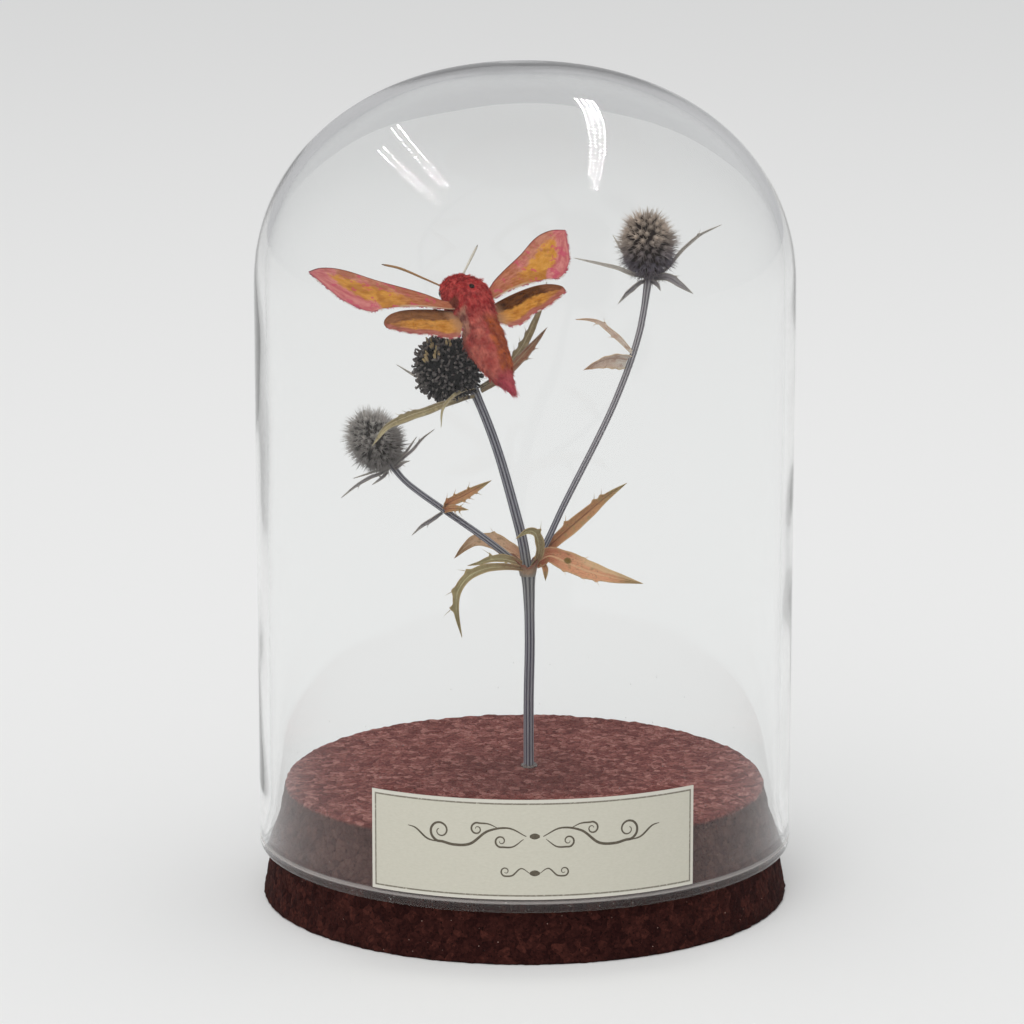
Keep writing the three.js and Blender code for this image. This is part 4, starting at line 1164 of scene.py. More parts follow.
def floretFinish(name, tones):
    low, high, dark = tones
    finish = Finish(name, {"Roughness": 0.75, "Specular IOR Level": 0.3})
    finish.base(finish.mix(finish.step(finish.read("height"), 0.2, 0.75), low, high))
    finish.coat(finish.read("shade") * 0.5, dark)
    tip = finish.read("along")
    # painted shade: each floret darkens towards its foot, deep among its neighbours
    finish.coat((1 - finish.step(tip, 0.16, 0.44)) * 0.95, dark)
    # painted highlight: the floret tips are lightened towards a pale grey
    finish.coat(finish.step(tip, 0.6, 1.0) * 0.4, finish.mix(0.5, high, (224, 216, 204)))
    finish.coat(finish.read("warm") * finish.step(tip, 0.3, 0.6), (222, 198, 148))
    speckle = finish.noise(5.0, 2.0)
    finish.coat(speckle * 0.35, dark)
    finish.relief(speckle, 0.08, 0.6)
    return finish


def markHeight(piece):  # how far each vertex is from the foot to the tip of a floret, by its z
    z = vertexPlaces(piece)[:, 2]
    mark(piece, "along", np.clip((z - z.min()) / (z.max() - z.min() + 1e-9), 0, 1))


def spikyFloret(head, needle):  # a bud in a ring of spikes
    bpy.ops.mesh.primitive_uv_sphere_add(segments=7, ring_count=6, radius=1)
    knob = bpy.context.active_object
    size, tall = head["knob"], head["tall"]
    taper = lambda z: size * (1 - 0.5 * np.maximum(z, 0))
    reshape(knob, lambda x, y, z: np.stack([x * taper(z), y * taper(z), tall * (0.5 + 0.5 * z)], 1))
    parts = [knob]
    for spike in range(head["spikes"]):
        angle = spike * 2.4
        lean = (0.7, 0.15, 0.45, 0.3)[spike % 4]
        out = Vector((math.cos(angle), math.sin(angle), 0))
        base = out * size * 0.3 * (1 + spike % 3) + Vector((0, 0, tall * 0.6))
        length = head["spine"] * (0.8, 1.15, 0.6, 1.0)[spike % 4]
        parts.append(needleAt(needle, base, out * lean + Vector((0, 0, 1)), length, 0.07))
    floret = joined(parts, "floret")
    markHeight(floret)
    return floret


def curlFloret(straps):  # a small bud with straps that curl over; each strap is its turn, height and hook
    bpy.ops.mesh.primitive_uv_sphere_add(segments=6, ring_count=5, radius=1)
    bud = bpy.context.active_object
    reshape(bud, lambda x, y, z: np.stack([x * 0.52, y * 0.52, 0.8 + 0.8 * z], 1))
    parts = [bud]
    for turn, tall, hook in straps:
        points = [
            (0.22, 0, 0.8), (0.4, 0.05, tall * 0.72), (0.52, 0, tall * 0.96),
            (0.52 + hook * 0.3, -0.06, tall), (0.52 + hook * 0.5, 0, tall - 0.22),
        ]
        strap = tubeAlong("strap", points, lambda z: 0.21 * (0.8 + 0.6 * z - 1.0 * z ** 5), 5, 7)
        strap.data.transform(Matrix.Rotation(math.radians(turn), 4, "Z"))
        parts.append(strap)
    floret = joined(parts, "curlyFloret")
    markHeight(floret)
    return floret


curlModels = [
    [(0, 1.9, 0.9), (125, 2.2, -0.8), (240, 1.6, 1.1)],
    [(20, 2.3, 1.2), (170, 1.7, 0.8), (280, 2.0, -1.1)],
    [(60, 1.5, 1.4), (190, 2.1, 1.0), (310, 1.8, 0.7)],
    [(90, 2.5, -1.0), (210, 1.6, 1.2)],
]


def headPlaces(head):  # spots spread evenly over a ball, with a bald patch at its foot
    count = head["florets"]
    for index in range(count):
        z = 1 - (1 + math.cos(math.radians(head["bald"]))) * (index + 0.5) / count
        angle = index * math.pi * (3 - math.sqrt(5))
        flat = math.sqrt(max(0, 1 - z * z))
        yield Vector((math.cos(angle) * flat, math.sin(angle) * flat, z))


def buildHead(name, head, models, strawModel):
    tilt = Vector((0, 0, 1)).rotation_difference(Vector(head["apex"])).to_matrix().to_4x4()
    toHead = Matrix.Translation(Vector(head["centre"]) * mm) @ tilt
    size = Vector((head["across"], head["across"], head["along"]))
    bpy.ops.mesh.primitive_ico_sphere_add(subdivisions=3, radius=1)
    core = bpy.context.active_object
    reshape(core, lambda x, y, z: np.stack([x * size.x, y * size.y, z * size.z], 1) * 1.04)
    core.data.transform(toHead)
    # the core takes the darkest painted shade, as at the feet of the florets
    for attribute, value in (("along", 0.0), ("shade", 1.0), ("height", 0.2), ("warm", 0.0)):
        mark(core, attribute, value)
    parts = [core]
    curly = head["spikes"] == 0
    for spot in headPlaces(head):
        jitter = Vector(chance.normal(0, head["jitter"], 3))
        out = Vector((spot.x / size.x, spot.y / size.y, spot.z / size.z)).normalized() + jitter
        scale = chance.uniform(0.8, 1.12)
        base = Vector((spot.x * size.x, spot.y * size.y, spot.z * size.z)) * 0.95
        facing = toHead.to_3x3() @ spot
        straw = curly and 0.2 < facing.z < 0.85 and -0.75 < facing.x < 0.2 and facing.y < -0.15
        straw = straw and chance.uniform() < 0.4
        if straw:
            out += toHead.to_3x3().inverted() @ Vector((0.1, 0, 0.8))
        model = strawModel if straw else models[int(chance.integers(len(models)))]
        turn = turnTo(out, chance.uniform(0, 6.28))
        matrix = toHead @ Matrix.Translation(base * mm) @ turn @ Matrix.Scale(scale, 4)
        marks = {"shade": chance.uniform(0, 0.9), "height": (spot.z + 1) / 2, "warm": float(straw)}
        parts.append(copyOf(model, matrix, **marks))
    parts.append(headWhiskers(head["whiskers"], toHead, size))
    dress(joined(parts, name), floretFinish(name + "Florets", head["tones"]), head["slot"], head["node"])


def headWhiskers(count, toHead, size):  # fine loose hairs round the foot of a head
    angle = chance.uniform(0, 6.28, count)
    fall = chance.uniform(0.62, 0.97, count)
    flat = np.sqrt(1 - fall ** 2)
    spots = np.stack([np.cos(angle) * flat * size.x, np.sin(angle) * flat * size.y, -fall * size.z], 1)
    ways = unit(spots) + chance.normal(0, 0.45, spots.shape)
    lengths = chance.uniform(1.6, 3.4, count)
    shades = chance.uniform(0, 0.7, count)
    hairs = hairCoat("whiskers", spots, ways, lengths, 0.05, shades, 0.3)
    hairs.data.transform(toHead)
    mark(hairs, "along", 0.75)
    mark(hairs, "height", 0.4)
    return hairs


def buildHeads(needle):
    curls = [curlFloret(straps) for straps in curlModels]
    straw = curlFloret([(0, 3.0, 0.2), (150, 2.6, 0.15), (250, 2.2, 0.1)])
    for name, head in heads.items():
        models = [spikyFloret(head, needle)] if head["spikes"] else curls
        buildHead(name, head, models, straw)
        if head["spikes"]:
            discard(models[0])
    for model in (*curls, straw):
        discard(model)
    print("flower heads done")


# moth: x to its right, y to its head, z out of its back, in millimetres about the thorax

mothFrame = {
    "centre": (-10.27, -2.5, 112.45),
    "right": (0.826, 0.563, 0.012),
    "forward": (-0.446, 0.641, 0.625),
}
mothRight = Vector(mothFrame["right"]).normalized()
mothUp = mothRight.cross(Vector(mothFrame["forward"])).normalized()
mothForward = mothUp.cross(mothRight)
mothTurn = Matrix((mothRight, mothForward, mothUp)).transposed()
mothMatrix = Matrix.Translation(Vector(mothFrame["centre"]) * mm) @ mothTurn.to_4x4()

mothBody = {
    # along, height, half width
    "sections": [
        (7.2, -1.6, 0.5), (6.9, -1.6, 1.2), (6, -1.5, 2.2), (4.7, -1.2, 2.75), (3.4, -0.7, 3.0),
        (2, -0.2, 3.65), (0.4, 0, 3.8), (-1.4, -0.1, 3.55), (-3, -0.4, 3.1), (-5, -1, 3.0), (-7, -1.6, 3.1),
        (-9.3, -2, 3.1), (-11.6, -2.2, 2.8), (-13.6, -2.4, 2.4), (-15.6, -2.6, 1.8), (-17.6, -2.6, 1.15),
        (-19.4, -2.5, 0.55), (-20.6, -2.4, 0.15),
    ],
    "hairs": 15000,
    "tailHairs": 260,
    "hairRadius": 0.06,
    "tufts": 520,
    "pinHole": (-0.9, 0.5, 4.25),
    "pinHoleRadius": 0.4,
    "eyes": [(-2.2, 5.0, -2.3), (2.2, 5.0, -2.3)],
    "eyeRadius": 0.85,
}


def mothPlaces(piece):  # from the moth's own axes to the frame
    piece.data.transform(mothMatrix)
    return piece


def furFinish():
    finish = Finish("raspberryFur", {"Roughness": 0.8, "Specular IOR Level": 0.06})
    centre = mothFrame["centre"]
    across = finish.along(tuple(mothRight), centre)
    along = finish.along(tuple(mothForward), centre)
    outward = finish.maths("ABSOLUTE", across)
    blotch = finish.noise(0.5, 3.0)
    mottle = finish.patches(1.3, 4.0, 0.3, 0.7)
    finish.base(finish.mix(mottle, (200, 48, 52), (240, 112, 104)))
    behind = 1 - finish.step(along + blotch * 1.5, -5, -2.5)
    dapple = finish.step(blotch, 0.3, 0.7)
    finish.coat(behind * 0.75, finish.mix(dapple, (196, 84, 74), (248, 156, 132)))
    patch = finish.step(across + blotch * 1.6, -0.5, 0.4) * (1 - finish.step(along + blotch * 2, -5.5, -3.5))
    patch = patch * finish.step(along + blotch * 2, -16.5, -14.5)
    finish.coat(patch * 0.9, finish.mix(dapple, (140, 58, 12), (226, 122, 46)))
    flank = finish.step(outward, 2.9, 3.4) * finish.band(along, -7.5, -5.5, -3, -1.8)
    finish.coat(flank * 0.85, (232, 190, 160))
    root = finish.step(outward, 3.5, 3.9) * finish.band(along, -2.0, -1.2, 0.2, 0.9)
    finish.coat(root * 0.75, (84, 70, 40))
    line = finish.band(along, -4.6, -3.9, -3.4, -2.8)
    finish.coat(line * finish.step(blotch, 0.35, 0.6) * 0.6, (104, 24, 40))
    tail = 1 - finish.step(along, -18.5, -15)
    finish.coat(tail * 0.75, (206, 74, 108))
    finish.coat(finish.read("shade") * 0.52, (122, 24, 28))
    # painted shade: darker patches standing in for creases between the tufts
    paintedCreaseShade = 1 - finish.patches(0.75, 2.0, 0.36, 0.48)
    finish.coat(paintedCreaseShade * 0.4, (120, 22, 36))
    finish.coat(finish.step(finish.read("along"), 0.4, 1.0) * 0.25, (232, 120, 108))
    return finish


def hairCoat(name, spots, ways, lengths, radius, shades, bend=0.12):  # bent three-sided hairs as one mesh
    count = len(spots)
    ways = unit(ways)
    side = unit(np.cross(ways, chance.normal(0, 1, (count, 3))))
    other = np.cross(ways, side)
    sag = chance.normal(0, bend, (count, 3)) * lengths[:, None]
    rows = []
    for share, width in ((0, 1.0), (0.55, 0.75)):
        centre = spots + ways * (lengths * share)[:, None] + sag * share ** 2
        for corner in range(3):
            angle = corner * 2 * math.pi / 3
            rows.append(centre + (side * math.cos(angle) + other * math.sin(angle)) * radius * width)
    rows.append(spots + ways * lengths[:, None] + sag)
    places = np.stack(rows, 1).reshape(-1, 3) * mm
    faces = []
    for first in range(0, count * 7, 7):
        for corner in range(3):
            following = (corner + 1) % 3
            faces.append((first + corner, first + following, first + 3 + following, first + 3 + corner))
            faces.append((first + 3 + corner, first + 3 + following, first + 6))
        faces.append((first, first + 2, first + 1))
    mesh = bpy.data.meshes.new(name)
    mesh.from_pydata(places.tolist(), [], faces)
    coat = bpy.data.objects.new(name, mesh)
    bpy.context.scene.collection.objects.link(coat)
    mark(coat, "along", np.tile([0, 0, 0, 0.5, 0.5, 0.5, 1.0], count))
    mark(coat, "shade", np.repeat(shades, 7))
    return coat


def spotsOn(piece, count):  # even random spots on a mesh in millimetres, with their normals
    mesh = piece.data
    mesh.calc_loop_triangles()
    corners = np.array([t.vertices for t in mesh.loop_triangles])
    places = vertexPlaces(piece)[corners] / mm
    normals = np.cross(places[:, 1] - places[:, 0], places[:, 2] - places[:, 0])
    areas = np.linalg.norm(normals, axis=1)
    picks = chance.choice(len(corners), count, p=areas / areas.sum())
    a, b = chance.uniform(0, 1, (2, count))
    flip = a + b > 1
    a[flip], b[flip] = 1 - a[flip], 1 - b[flip]
    chosen = places[picks]
    edges = chosen[:, 1:] - chosen[:, :1]
    spots = chosen[:, 0] + edges[:, 0] * a[:, None] + edges[:, 1] * b[:, None]
    return spots, unit(normals[picks])


def mothSkin():
    sections = np.array(mothBody["sections"])
    route = [(0, along, height) for along, height, half in sections]
    path = Route(route)
    shares = np.interp(-sections[:, 0], -path.line[:, 1], path.shares)
    skin = tubeAlong("mothSkin", route, lambda z: np.interp(z, shares, sections[:, 2] * 1.13), 32, 90)
    modify(skin, "SMOOTH", factor=0.5, iterations=3)

    def narrowed(x, y, z):  # at the neck and between the rings of the abdomen
        x, y, z = x / mm, y / mm, z / mm
        neck = np.exp(-((y - 3.3) / 0.35) ** 2) * 0.35
        rings = np.where(y < -4, (0.5 + 0.5 * np.cos((y + 4) * 2 * np.pi / 2.3)) ** 6 * 0.14, 0)
        squeeze = 1 - (neck + rings) / 3.2
        height = np.interp(-y, -sections[:, 0], sections[:, 1])
        return np.stack([x * squeeze, y, height + (z - height) * squeeze], 1)

    reshape(skin, narrowed)
    mark(skin, "shade", 0.75)
    return skin


def mothCoat(skin):
    spots, normals = spotsOn(skin, mothBody["hairs"])
    kept = np.linalg.norm(spots - np.array(mothBody["pinHole"]), axis=1) > 0.95
    spots, normals = spots[kept], normals[kept]
    along = spots[:, 1]
    back = np.array([0, -1.0, 0]) + np.stack([spots[:, 0] * 0.08, 0 * along, 0 * along], 1)
    lay = back - normals * (back * normals).sum(1)[:, None]
    lift = np.where(along > 2.5, 0.5, np.where(along > -3, 0.3, 0.2))
    ways = unit(lay) + normals * (lift + chance.normal(0, 0.1, len(lift)))[:, None]
    ways = unit(ways + chance.normal(0, 0.16, spots.shape))
    flank = (np.abs(spots[:, 0]) > 2.2) & (along < -1) & (along > -8.5)
    lengths = np.where(along > 3, 0.7, np.where(along > -3, 1.0, 0.95))
    lengths = lengths * chance.uniform(0.7, 1.15, len(along))
    lengths = np.where(flank, lengths * 1.5, lengths) * smooth(along, -22.5, -19)
    lengths = np.maximum(lengths, 0.35)
    # neighbours lean together to the point of a tuft
    tuft = chance.choice(len(spots), mothBody["tufts"], replace=False)
    nearestTuft = np.array([np.argmin(((spots[tuft] - spot) ** 2).sum(1)) for spot in spots])
    chosen = tuft[nearestTuft]
    point = spots[chosen] + unit(ways[chosen]) * lengths[:, None] * 1.05
    ways = ways + unit(point - spots) * 0.9
    shades = chance.uniform(0, 1, mothBody["tufts"])[nearestTuft] * 0.65
    shades = shades + chance.uniform(0, 0.35, len(along))
    return hairCoat("fur", spots, ways, lengths, mothBody["hairRadius"], shades)


def buildMothBody():
    skin = mothSkin()
    body = joined([skin, mothCoat(skin), tailTuft()], "mothFur")
    dress(mothPlaces(body), furFinish(), "moth_fur", "moth_body")
    buildEyes()
    buildPinHole()


def tailTuft():
    count = mothBody["tailHairs"]
    spots = np.array([0, -18.4, -2.55]) + chance.normal(0, 0.35, (count, 3)) * np.array([1, 0, 1])
    spots = spots + np.array([0, 1, 0]) * chance.uniform(-0.8, 0.8, (count, 1))
    ways = np.array([0, -21.4, -2.4]) - spots
    lengths = np.linalg.norm(ways, axis=1) * chance.uniform(0.75, 1.0, count)
    return hairCoat("tail", spots, ways, lengths, mothBody["hairRadius"], chance.uniform(0, 0.6, count))


def buildEyes():
    eyes = []
    for place in mothBody["eyes"]:
        bpy.ops.mesh.primitive_ico_sphere_add(
            subdivisions=4, radius=mothBody["eyeRadius"] * mm, location=Vector(place) * mm,
        )
        eye = bpy.context.active_object
        bpy.ops.object.transform_apply()
        eyes.append(eye)
    finish = Finish("darkEye", {"Roughness": 0.22, "Coat Weight": 0.6})
    facet = finish.cells(7.0)
    finish.base(finish.mix(facet, (22, 24, 18), (52, 50, 34)))
    finish.relief(facet, 0.03, 0.5)
    dress(mothPlaces(joined(eyes, "mothEyes")), finish, "moth_fur")


def buildPinHole():
    spot = Vector(mothBody["pinHole"]) * mm
    size = mothBody["pinHoleRadius"] * mm
    bpy.ops.mesh.primitive_torus_add(
        major_segments=24, minor_segments=8, major_radius=size, minor_radius=size * 0.325, location=spot,
    )
    ring = bpy.context.active_object
    bpy.ops.object.transform_apply()
    bpy.ops.mesh.primitive_uv_sphere_add(segments=16, ring_count=8, radius=size * 1.05, location=spot)
    hollow = bpy.context.active_object
    bpy.ops.object.transform_apply()
    pick(hollow, "vertices", lambda v: v.co.z > spot.z)
    bpy.ops.transform.resize(value=(1, 1, 0.15), center_override=spot)
    bpy.ops.object.mode_set(mode="OBJECT")
    # painted shade: the shallow dimple and its ring are painted near-black, as the shade inside a deep pin
    # hole
    finish = Finish("pinHoleEdge", {"Roughness": 0.9})
    grit = finish.noise(4.0)
    finish.base(finish.mix(grit, (14, 12, 9), (52, 38, 26)))
    dress(mothPlaces(joined([hollow, ring], "pinHole")), finish, "moth_fur")


# wings: leading edge and hind edge from the root to the tip, and the point where the outer margin starts

wingShapes = {
    "forewing": {
        "leading": [
            (-1.9, 0.2), (0.9, 0.6), (3.7, 2.6), (6.7, 4.4), (12.2, 7.4), (16.9, 10.4), (19.4, 11.4),
            (22, 11.7), (24.4, 11.1),
        ],
        "hind": [
            (-1.9, -1.9), (0.5, -1.7), (5.3, -0.4), (10.4, 0.3), (14.2, 0.4), (16.7, 0.1), (18.8, 1.3),
            (21, 3.7), (23.1, 8), (24.1, 10.4), (24.4, 11.1),
        ],
        "outerFrom": 5, "camber": 0.35, "veins": 7,
    },
    "hindwing": {
        "leading": [(-1.5, 1.2), (0.1, 1.9), (5.7, 3.2), (11, 3.5), (13.7, 2.8), (15.4, 1.4), (15.5, 0.1)],
        "hind": [
            (-1.5, -1.2), (-0.3, -1.4), (2, -3.9), (4.4, -4), (7.2, -2.7), (10.7, -2), (13.3, -0.9),
            (15.5, 0.1),
        ],
        "outerFrom": 2, "camber": 0.25, "veins": 6,
    },
}

wings = {
    # node, shape, side, root, turn in degrees
    "leftForewing": ("left_forewing", "forewing", -1, (-4.4, 0.5, 0.3), (0, 0, 0)),
    "rightForewing": ("right_forewing", "forewing", 1, (3.37, 0.97, 0.92), (-0.6, -5.4, 1.5)),
    "leftHindwing": ("left_hindwing", "hindwing", -1, (-3.7, -3, -0.6), (0, 0, 0)),
    "rightHindwing": ("right_hindwing", "hindwing", 1, (3.7, -3, -0.6), (-5.8, -15.7, -1.5)),
}
wingBuild = {
    "across": 18,
    "along": 64,
    "thickness": 0.14,
    "ridge": 0.07,
    "fringeHairs": 420,
    "fringeRadius": 0.06,
}


def scaleTexture(finish, span, chord):  # fine streaks along the veins
    vector = finish.node("CombineXYZ", {}, {0: span * 0.35, 1: chord * 6.0})
    return finish.step(finish.noise(1.6, 5.0, 0.6, vector), 0.22, 0.78)


def forewingFinish():
    finish = Finish("ochreWing", {"Roughness": 0.75, "Specular IOR Level": 0.08})
    span, chord = finish.read("span"), finish.read("chord")
    costa, margin = finish.read("costa"), finish.read("margin")
    streak = scaleTexture(finish, span, chord)
    patch = finish.noise(0.33, 3.0)
    ragged = (finish.noise(0.9, 4.0, 0.65) - 0.5) * 2.6
    ochre = finish.mix(streak, (208, 138, 50), (234, 170, 84))
    brown = finish.mix(streak, (188, 112, 84), (220, 156, 130))
    pink = finish.mix(streak, (196, 98, 98), (228, 150, 142))
    costal = finish.mix(finish.step(patch, 0.42, 0.58), brown, pink)
    width = 2.9 - span * 0.05
    finish.base(finish.mix(1 - finish.step(costa + ragged * 1.3 - width, -0.4, 0.6), ochre, costal))
    clouded = finish.step(finish.noise(0.24, 2.0, vector=finish.stretched((1, 1, 1.6))), 0.46, 0.58)
    finish.coat(clouded * 0.45, (158, 84, 42))
    inner = 1 - finish.step(span + ragged * 1.8, 6, 12)
    finish.coat(inner * 0.8, finish.mix(streak, (160, 82, 50), (206, 134, 100)))
    outer = 1 - finish.step(margin + ragged * 0.9, 2.1, 3.0)
    finish.coat(outer * 0.95, finish.mix(streak, (198, 84, 98), (234, 154, 148)))
    rosy = finish.patches(0.62, 2.0, 0.58, 0.66)
    finish.coat(rosy * 0.65, (214, 76, 112))
    tip = finish.step(span + ragged, 20, 23)
    finish.coat(tip * 0.6, pink)
    vein = finish.step(finish.read("vein"), 0.8, 1.0)
    finish.coat(vein * 0.35, (146, 74, 56))
    smudge = finish.patches(2.4, 3.0, 0.55, 0.75)
    finish.coat(smudge * 0.25, (156, 86, 58))
    edge = 1 - finish.step(costa, 0.12, 0.34)
    finish.coat(edge * 0.8, (92, 46, 42))
    rim = 1 - finish.step(margin, 0.1, 0.35)
    finish.coat(rim * 0.5, (196, 84, 110))
    pale = (1 - finish.step(chord, 0.04, 0.1)) * (1 - finish.step(span, 8, 12))
    finish.coat(pale * 0.7, (214, 190, 160))
    finish.relief(streak, 0.06, 0.6)
    return finish


def hindwingFinish():
    finish = Finish("brownWing", {"Roughness": 0.75, "Specular IOR Level": 0.08})
    span, chord = finish.read("span"), finish.read("chord")
    costa, margin = finish.read("costa"), finish.read("margin")
    streak = scaleTexture(finish, span, chord)
    patch = finish.noise(0.5, 3.0)
    ragged = (finish.noise(1.0, 4.0, 0.65) - 0.5) * 0.3
    brown = finish.mix(streak, (36, 12, 2), (120, 68, 26))
    # painted light: the left hindwing, lit more, is painted a paler brown than the right
    paler = finish.mix(streak, (150, 92, 50), (190, 132, 84))
    brown = finish.mix(finish.read("sunned") * 0.42, brown, paler)
    ochre = finish.mix(streak, (180, 106, 26), (226, 162, 76))
    pink = finish.mix(streak, (158, 80, 66), (200, 124, 108))
    finish.base(finish.mix(finish.step(chord + ragged, 0.5, 0.6), ochre, brown))
    far = finish.step(span + ragged * 8, 10.5, 13)
    finish.coat(far * 0.5, finish.mix(streak, (136, 78, 50), (176, 116, 84)))
    finish.coat(1 - finish.step(margin + patch * 0.8, 1.0, 1.6), pink)
    stain = finish.step(patch, 0.55, 0.66) * (1 - finish.step(chord, 0.35, 0.5))
    finish.coat(stain * 0.5, (150, 92, 54))
    finish.coat((1 - finish.step(span, 0.5, 3.2)) * 0.7, (196, 148, 112))
    smudge = finish.patches(2.4, 3.0, 0.5, 0.7)
    finish.coat(smudge * 0.25, (104, 56, 30))
    finish.coat((1 - finish.step(costa, 0.1, 0.5)) * 0.5, (122, 74, 52))
    finish.relief(streak, 0.06, 0.6)
    return finish


def fringeFinish():
    finish = Finish("wingFringe", {"Roughness": 0.8})
    finish.base(finish.mix(finish.read("shade"), (238, 220, 210), (198, 92, 104)))
    return finish


def wingMatrix(root, turn):
    x, y, z = (math.radians(angle) for angle in turn)
    tilt = Matrix.Rotation(x, 4, "X") @ Matrix.Rotation(y, 4, "Y") @ Matrix.Rotation(z, 4, "Z")
    return mothMatrix @ Matrix.Translation(Vector(root) * mm) @ tilt


def wingEdges(kind):
    return [Route([(x, y, 0) for x, y in wingShapes[kind][edge]]) for edge in ("leading", "hind")]


def nearest(places, line):  # distance to a line of points
    return np.sqrt(((places[:, None, :] - line[None]) ** 2).sum(2)).min(1)


def buildWing(name, node, kind, side, matrix, finish):
    shape = wingShapes[kind]
    leading, hind = wingEdges(kind)
    sheet = unitGrid(name, wingBuild["across"], wingBuild["along"])
    x, share, z = vertexPlaces(sheet).T
    chord = (x + 1) / 2
    flat = hind.at(share) * (1 - chord)[:, None] + leading.at(share) * chord[:, None]
    veins = 0.5 + 0.5 * np.cos(chord * 2 * np.pi * shape["veins"])
    mark(sheet, "span", flat[:, 0])
    mark(sheet, "chord", chord)
    mark(sheet, "costa", nearest(flat, leading.line))
    mark(sheet, "margin", nearest(flat, hind.line[shape["outerFrom"] * curveSteps:]))
    mark(sheet, "vein", veins ** 8)
    # the left wings are marked for the paler, painted-light brown of the hindwing
    mark(sheet, "sunned", float(side < 0))
    arch = shape["camber"] * np.sin(np.pi * chord) * np.sin(np.pi * np.clip(share, 0, 1)) ** 0.6
    ridge = wingBuild["ridge"] * veins ** 3 * np.sin(np.pi * chord) * np.sin(np.pi * share)
    reshape(sheet, lambda x, y, z: np.stack([flat[:, 0] * side, flat[:, 1], arch + ridge], 1))
    if side < 0:
        bpy.context.view_layer.objects.active = sheet
        bpy.ops.object.mode_set(mode="EDIT")
        bpy.ops.mesh.select_all(action="SELECT")
        bpy.ops.mesh.flip_normals()
        bpy.ops.object.mode_set(mode="OBJECT")
    modify(sheet, "SOLIDIFY", thickness=wingBuild["thickness"] * mm, offset=0)
    sheet.data.transform(matrix)
    dress(sheet, finish, kind, node)


def buildFringe(name, kind, side, matrix, finish):  # fine hairs along the hind edge
    leading, hind = wingEdges(kind)
    count = wingBuild["fringeHairs"]
    shares = np.sort(chance.uniform(0.1, 0.985, count))
    edge = hind.at(shares)
    quarterTurn = np.array([[0, -1, 0], [1, 0, 0], [0, 0, 1]])
    outward = hind.tangent(shares) @ quarterTurn
    outward *= np.sign(((edge - leading.at(shares)) * outward).sum(1))[:, None]
    ways = outward + hind.tangent(shares) * 0.35 + chance.normal(0, 0.12, edge.shape)
    lengths = chance.uniform(0.35, 0.6, count)
    checks = (np.sin(shares * 60) > 0.1) * 1.0
    mirror = np.array([side, 1, 1])
    spots = (edge - outward * 0.1) * mirror
    fringe = hairCoat(name, spots, ways * mirror, lengths, wingBuild["fringeRadius"], checks)
    fringe.data.transform(matrix)
    dress(fringe, finish, kind)


# feelers and legs

feelers = {
    # node, tone, route
    "leftFeeler": ("left_antenna", (186, 140, 92),
                   [(-1.3, 6.2, -2.1), (-4.6, 8.9, -1.9), (-8.2, 12.1, -2), (-11.2, 13.8, -2.3)]),
    "rightFeeler": ("right_antenna", (236, 228, 210),
                    [(1.3, 6.2, -2.1), (4.6, 9.4, -1.9), (8, 12.8, -2), (11.2, 16, -2.3)]),
}

legs = {
    # node, hip, knee, and the way from the middle of the flower head to the foot
    "leftFrontLeg": ("left_front_leg", (-1.6, 3, -3.4), (-4.4, 3, -4.2), (-0.15, 0.8, 0.55)),
    "rightFrontLeg": ("right_front_leg", (1.6, 3, -3.4), (4.2, 3.2, -4.6), (0.4, 0.8, 0.45)),
    "leftMiddleLeg": ("left_middle_leg", (-2, 0.8, -3.2), (-6.4, 0.6, -3), (-0.45, 0.6, 0.65)),
    "rightMiddleLeg": ("right_middle_leg", (2, 0.8, -3.2), (5.6, 0.2, -4.6), (0.7, 0.55, 0.5)),
    "leftHindLeg": ("left_hind_leg", (-2, -1.2, -3), (-6.2, -1.6, -2.6), (-0.3, 0.4, 0.85)),
    "rightHindLeg": ("right_hind_leg", (2, -1.2, -3), (5.4, -3.4, -4.6), (0.88, 0.25, 0.42)),
}
legBuild = {"footReach": 6.65, "hairs": 260, "hairRadius": 0.04}


def feelerFinish(name, tone):
    finish = Finish(name, {"Roughness": 0.6})
    along = finish.read("along")
    rings = finish.maths("SINE", along * 300) * 0.5 + 0.5
    finish.base(finish.mix(rings * 0.5, tone, [value * 0.7 for value in tone]))
    finish.coat(finish.step(along, 0.9, 1.0) * 0.8, (72, 62, 50))
    return finish


def feelerRadius(z):
    plain = np.interp(z, (0, 0.25, 0.7, 0.93, 1), (0.15, 0.18, 0.24, 0.2, 0.07))
    return plain * (1 + 0.14 * np.sin(z * 290))


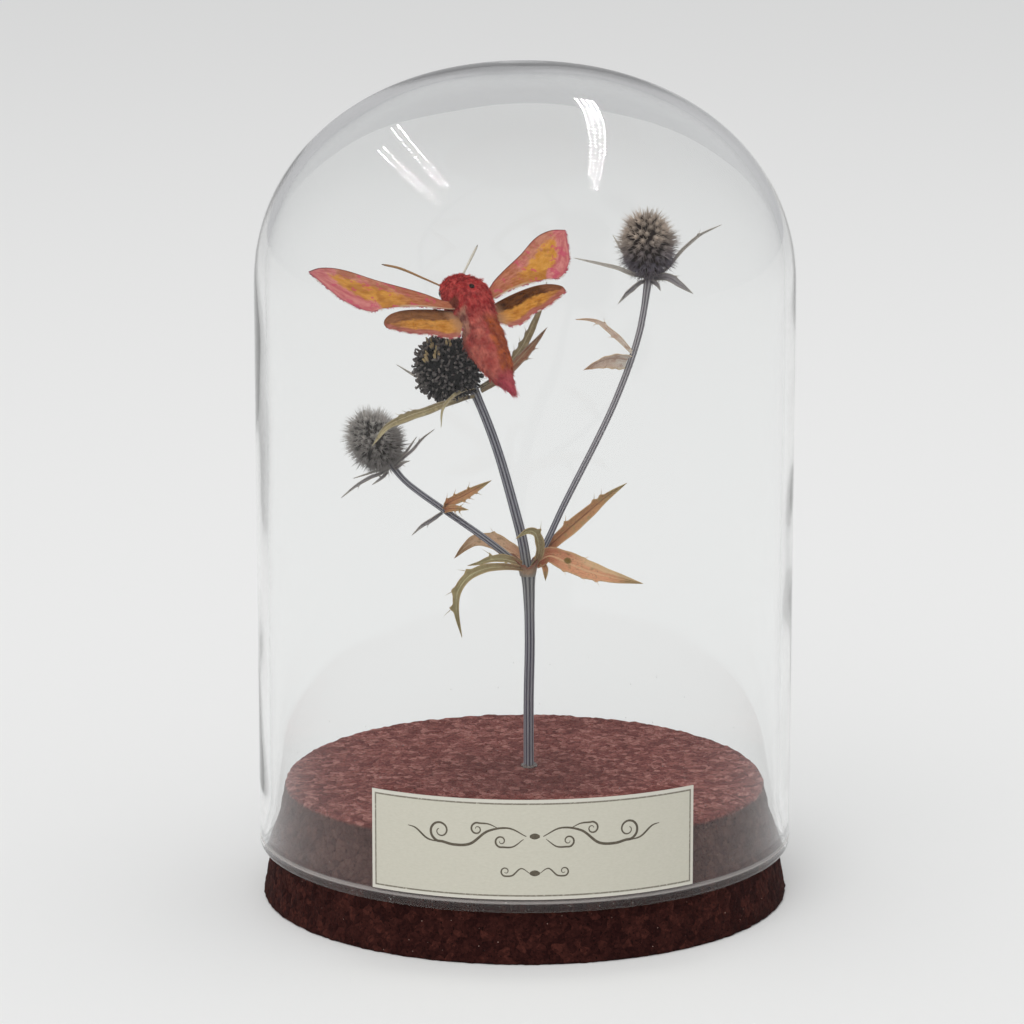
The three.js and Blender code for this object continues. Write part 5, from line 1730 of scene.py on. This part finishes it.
def buildFeelers():
    for name, (node, tone, route) in feelers.items():
        piece = tubeAlong(name, route, feelerRadius, 8, 220)
        dress(mothPlaces(piece), feelerFinish(name + "Shell", tone), "antenna", node)


def legFinish():
    finish = Finish("pinkLeg", {"Roughness": 0.8})
    mottle = finish.noise(1.2, 3.0)
    finish.base(finish.mix(mottle, (150, 66, 62), (204, 150, 130)))
    finish.coat(finish.step(finish.read("along"), 0.6, 0.9) * 0.6, (196, 160, 130))
    return finish


def legRadius(z):
    return np.interp(z, (0, 0.3, 0.62, 0.7, 1), (0.42, 0.34, 0.2, 0.22, 0.11))


def legHair(route):
    path, count = Route(route), legBuild["hairs"]
    shares = chance.uniform(0.02, 0.75, count)
    centre, side, face = path.frame(shares)
    angle = chance.uniform(0, 6.28, (count, 1))
    out = side * np.cos(angle) + face * np.sin(angle)
    ways = path.tangent(shares) + out * 0.7
    lengths = chance.uniform(0.3, 0.6, count)
    shades = chance.uniform(0, 1, count)
    return hairCoat("legHair", centre + out * 0.22, ways, lengths, legBuild["hairRadius"], shades)


def buildLegs():
    finish = legFinish()
    flowerCentre = mothMatrix.inverted() @ (Vector(heads["middleHead"]["centre"]) * mm) / mm
    for name, (node, hip, knee, foot) in legs.items():
        ground = flowerCentre + Vector(foot).normalized() * legBuild["footReach"]
        ankle = Vector(knee).lerp(ground, 0.6)
        route = [hip, knee, tuple(ankle), tuple(ground)]
        leg = tubeAlong(name, route, legRadius, 8, 30)
        dress(mothPlaces(joined([leg, legHair(route)], name)), finish, "moth_leg", node)


def buildMoth():
    buildMothBody()
    finishes = {"forewing": forewingFinish(), "hindwing": hindwingFinish()}
    fringe = fringeFinish()
    for name, (node, kind, side, root, turn) in wings.items():
        matrix = wingMatrix(root, turn)
        buildWing(name, node, kind, side, matrix, finishes[kind])
        buildFringe(name + "Fringe", kind, side, matrix, fringe)
    buildFeelers()
    buildLegs()
    print("moth done")


buildStudio()
buildCork()
buildDome()
buildLabel()
buildScrolls()
buildStalks()
buildSheath()
buildGlue()
needle = needleModel()
buildLeaves(needle)
buildHeads(needle)
discard(needle)
buildMoth()
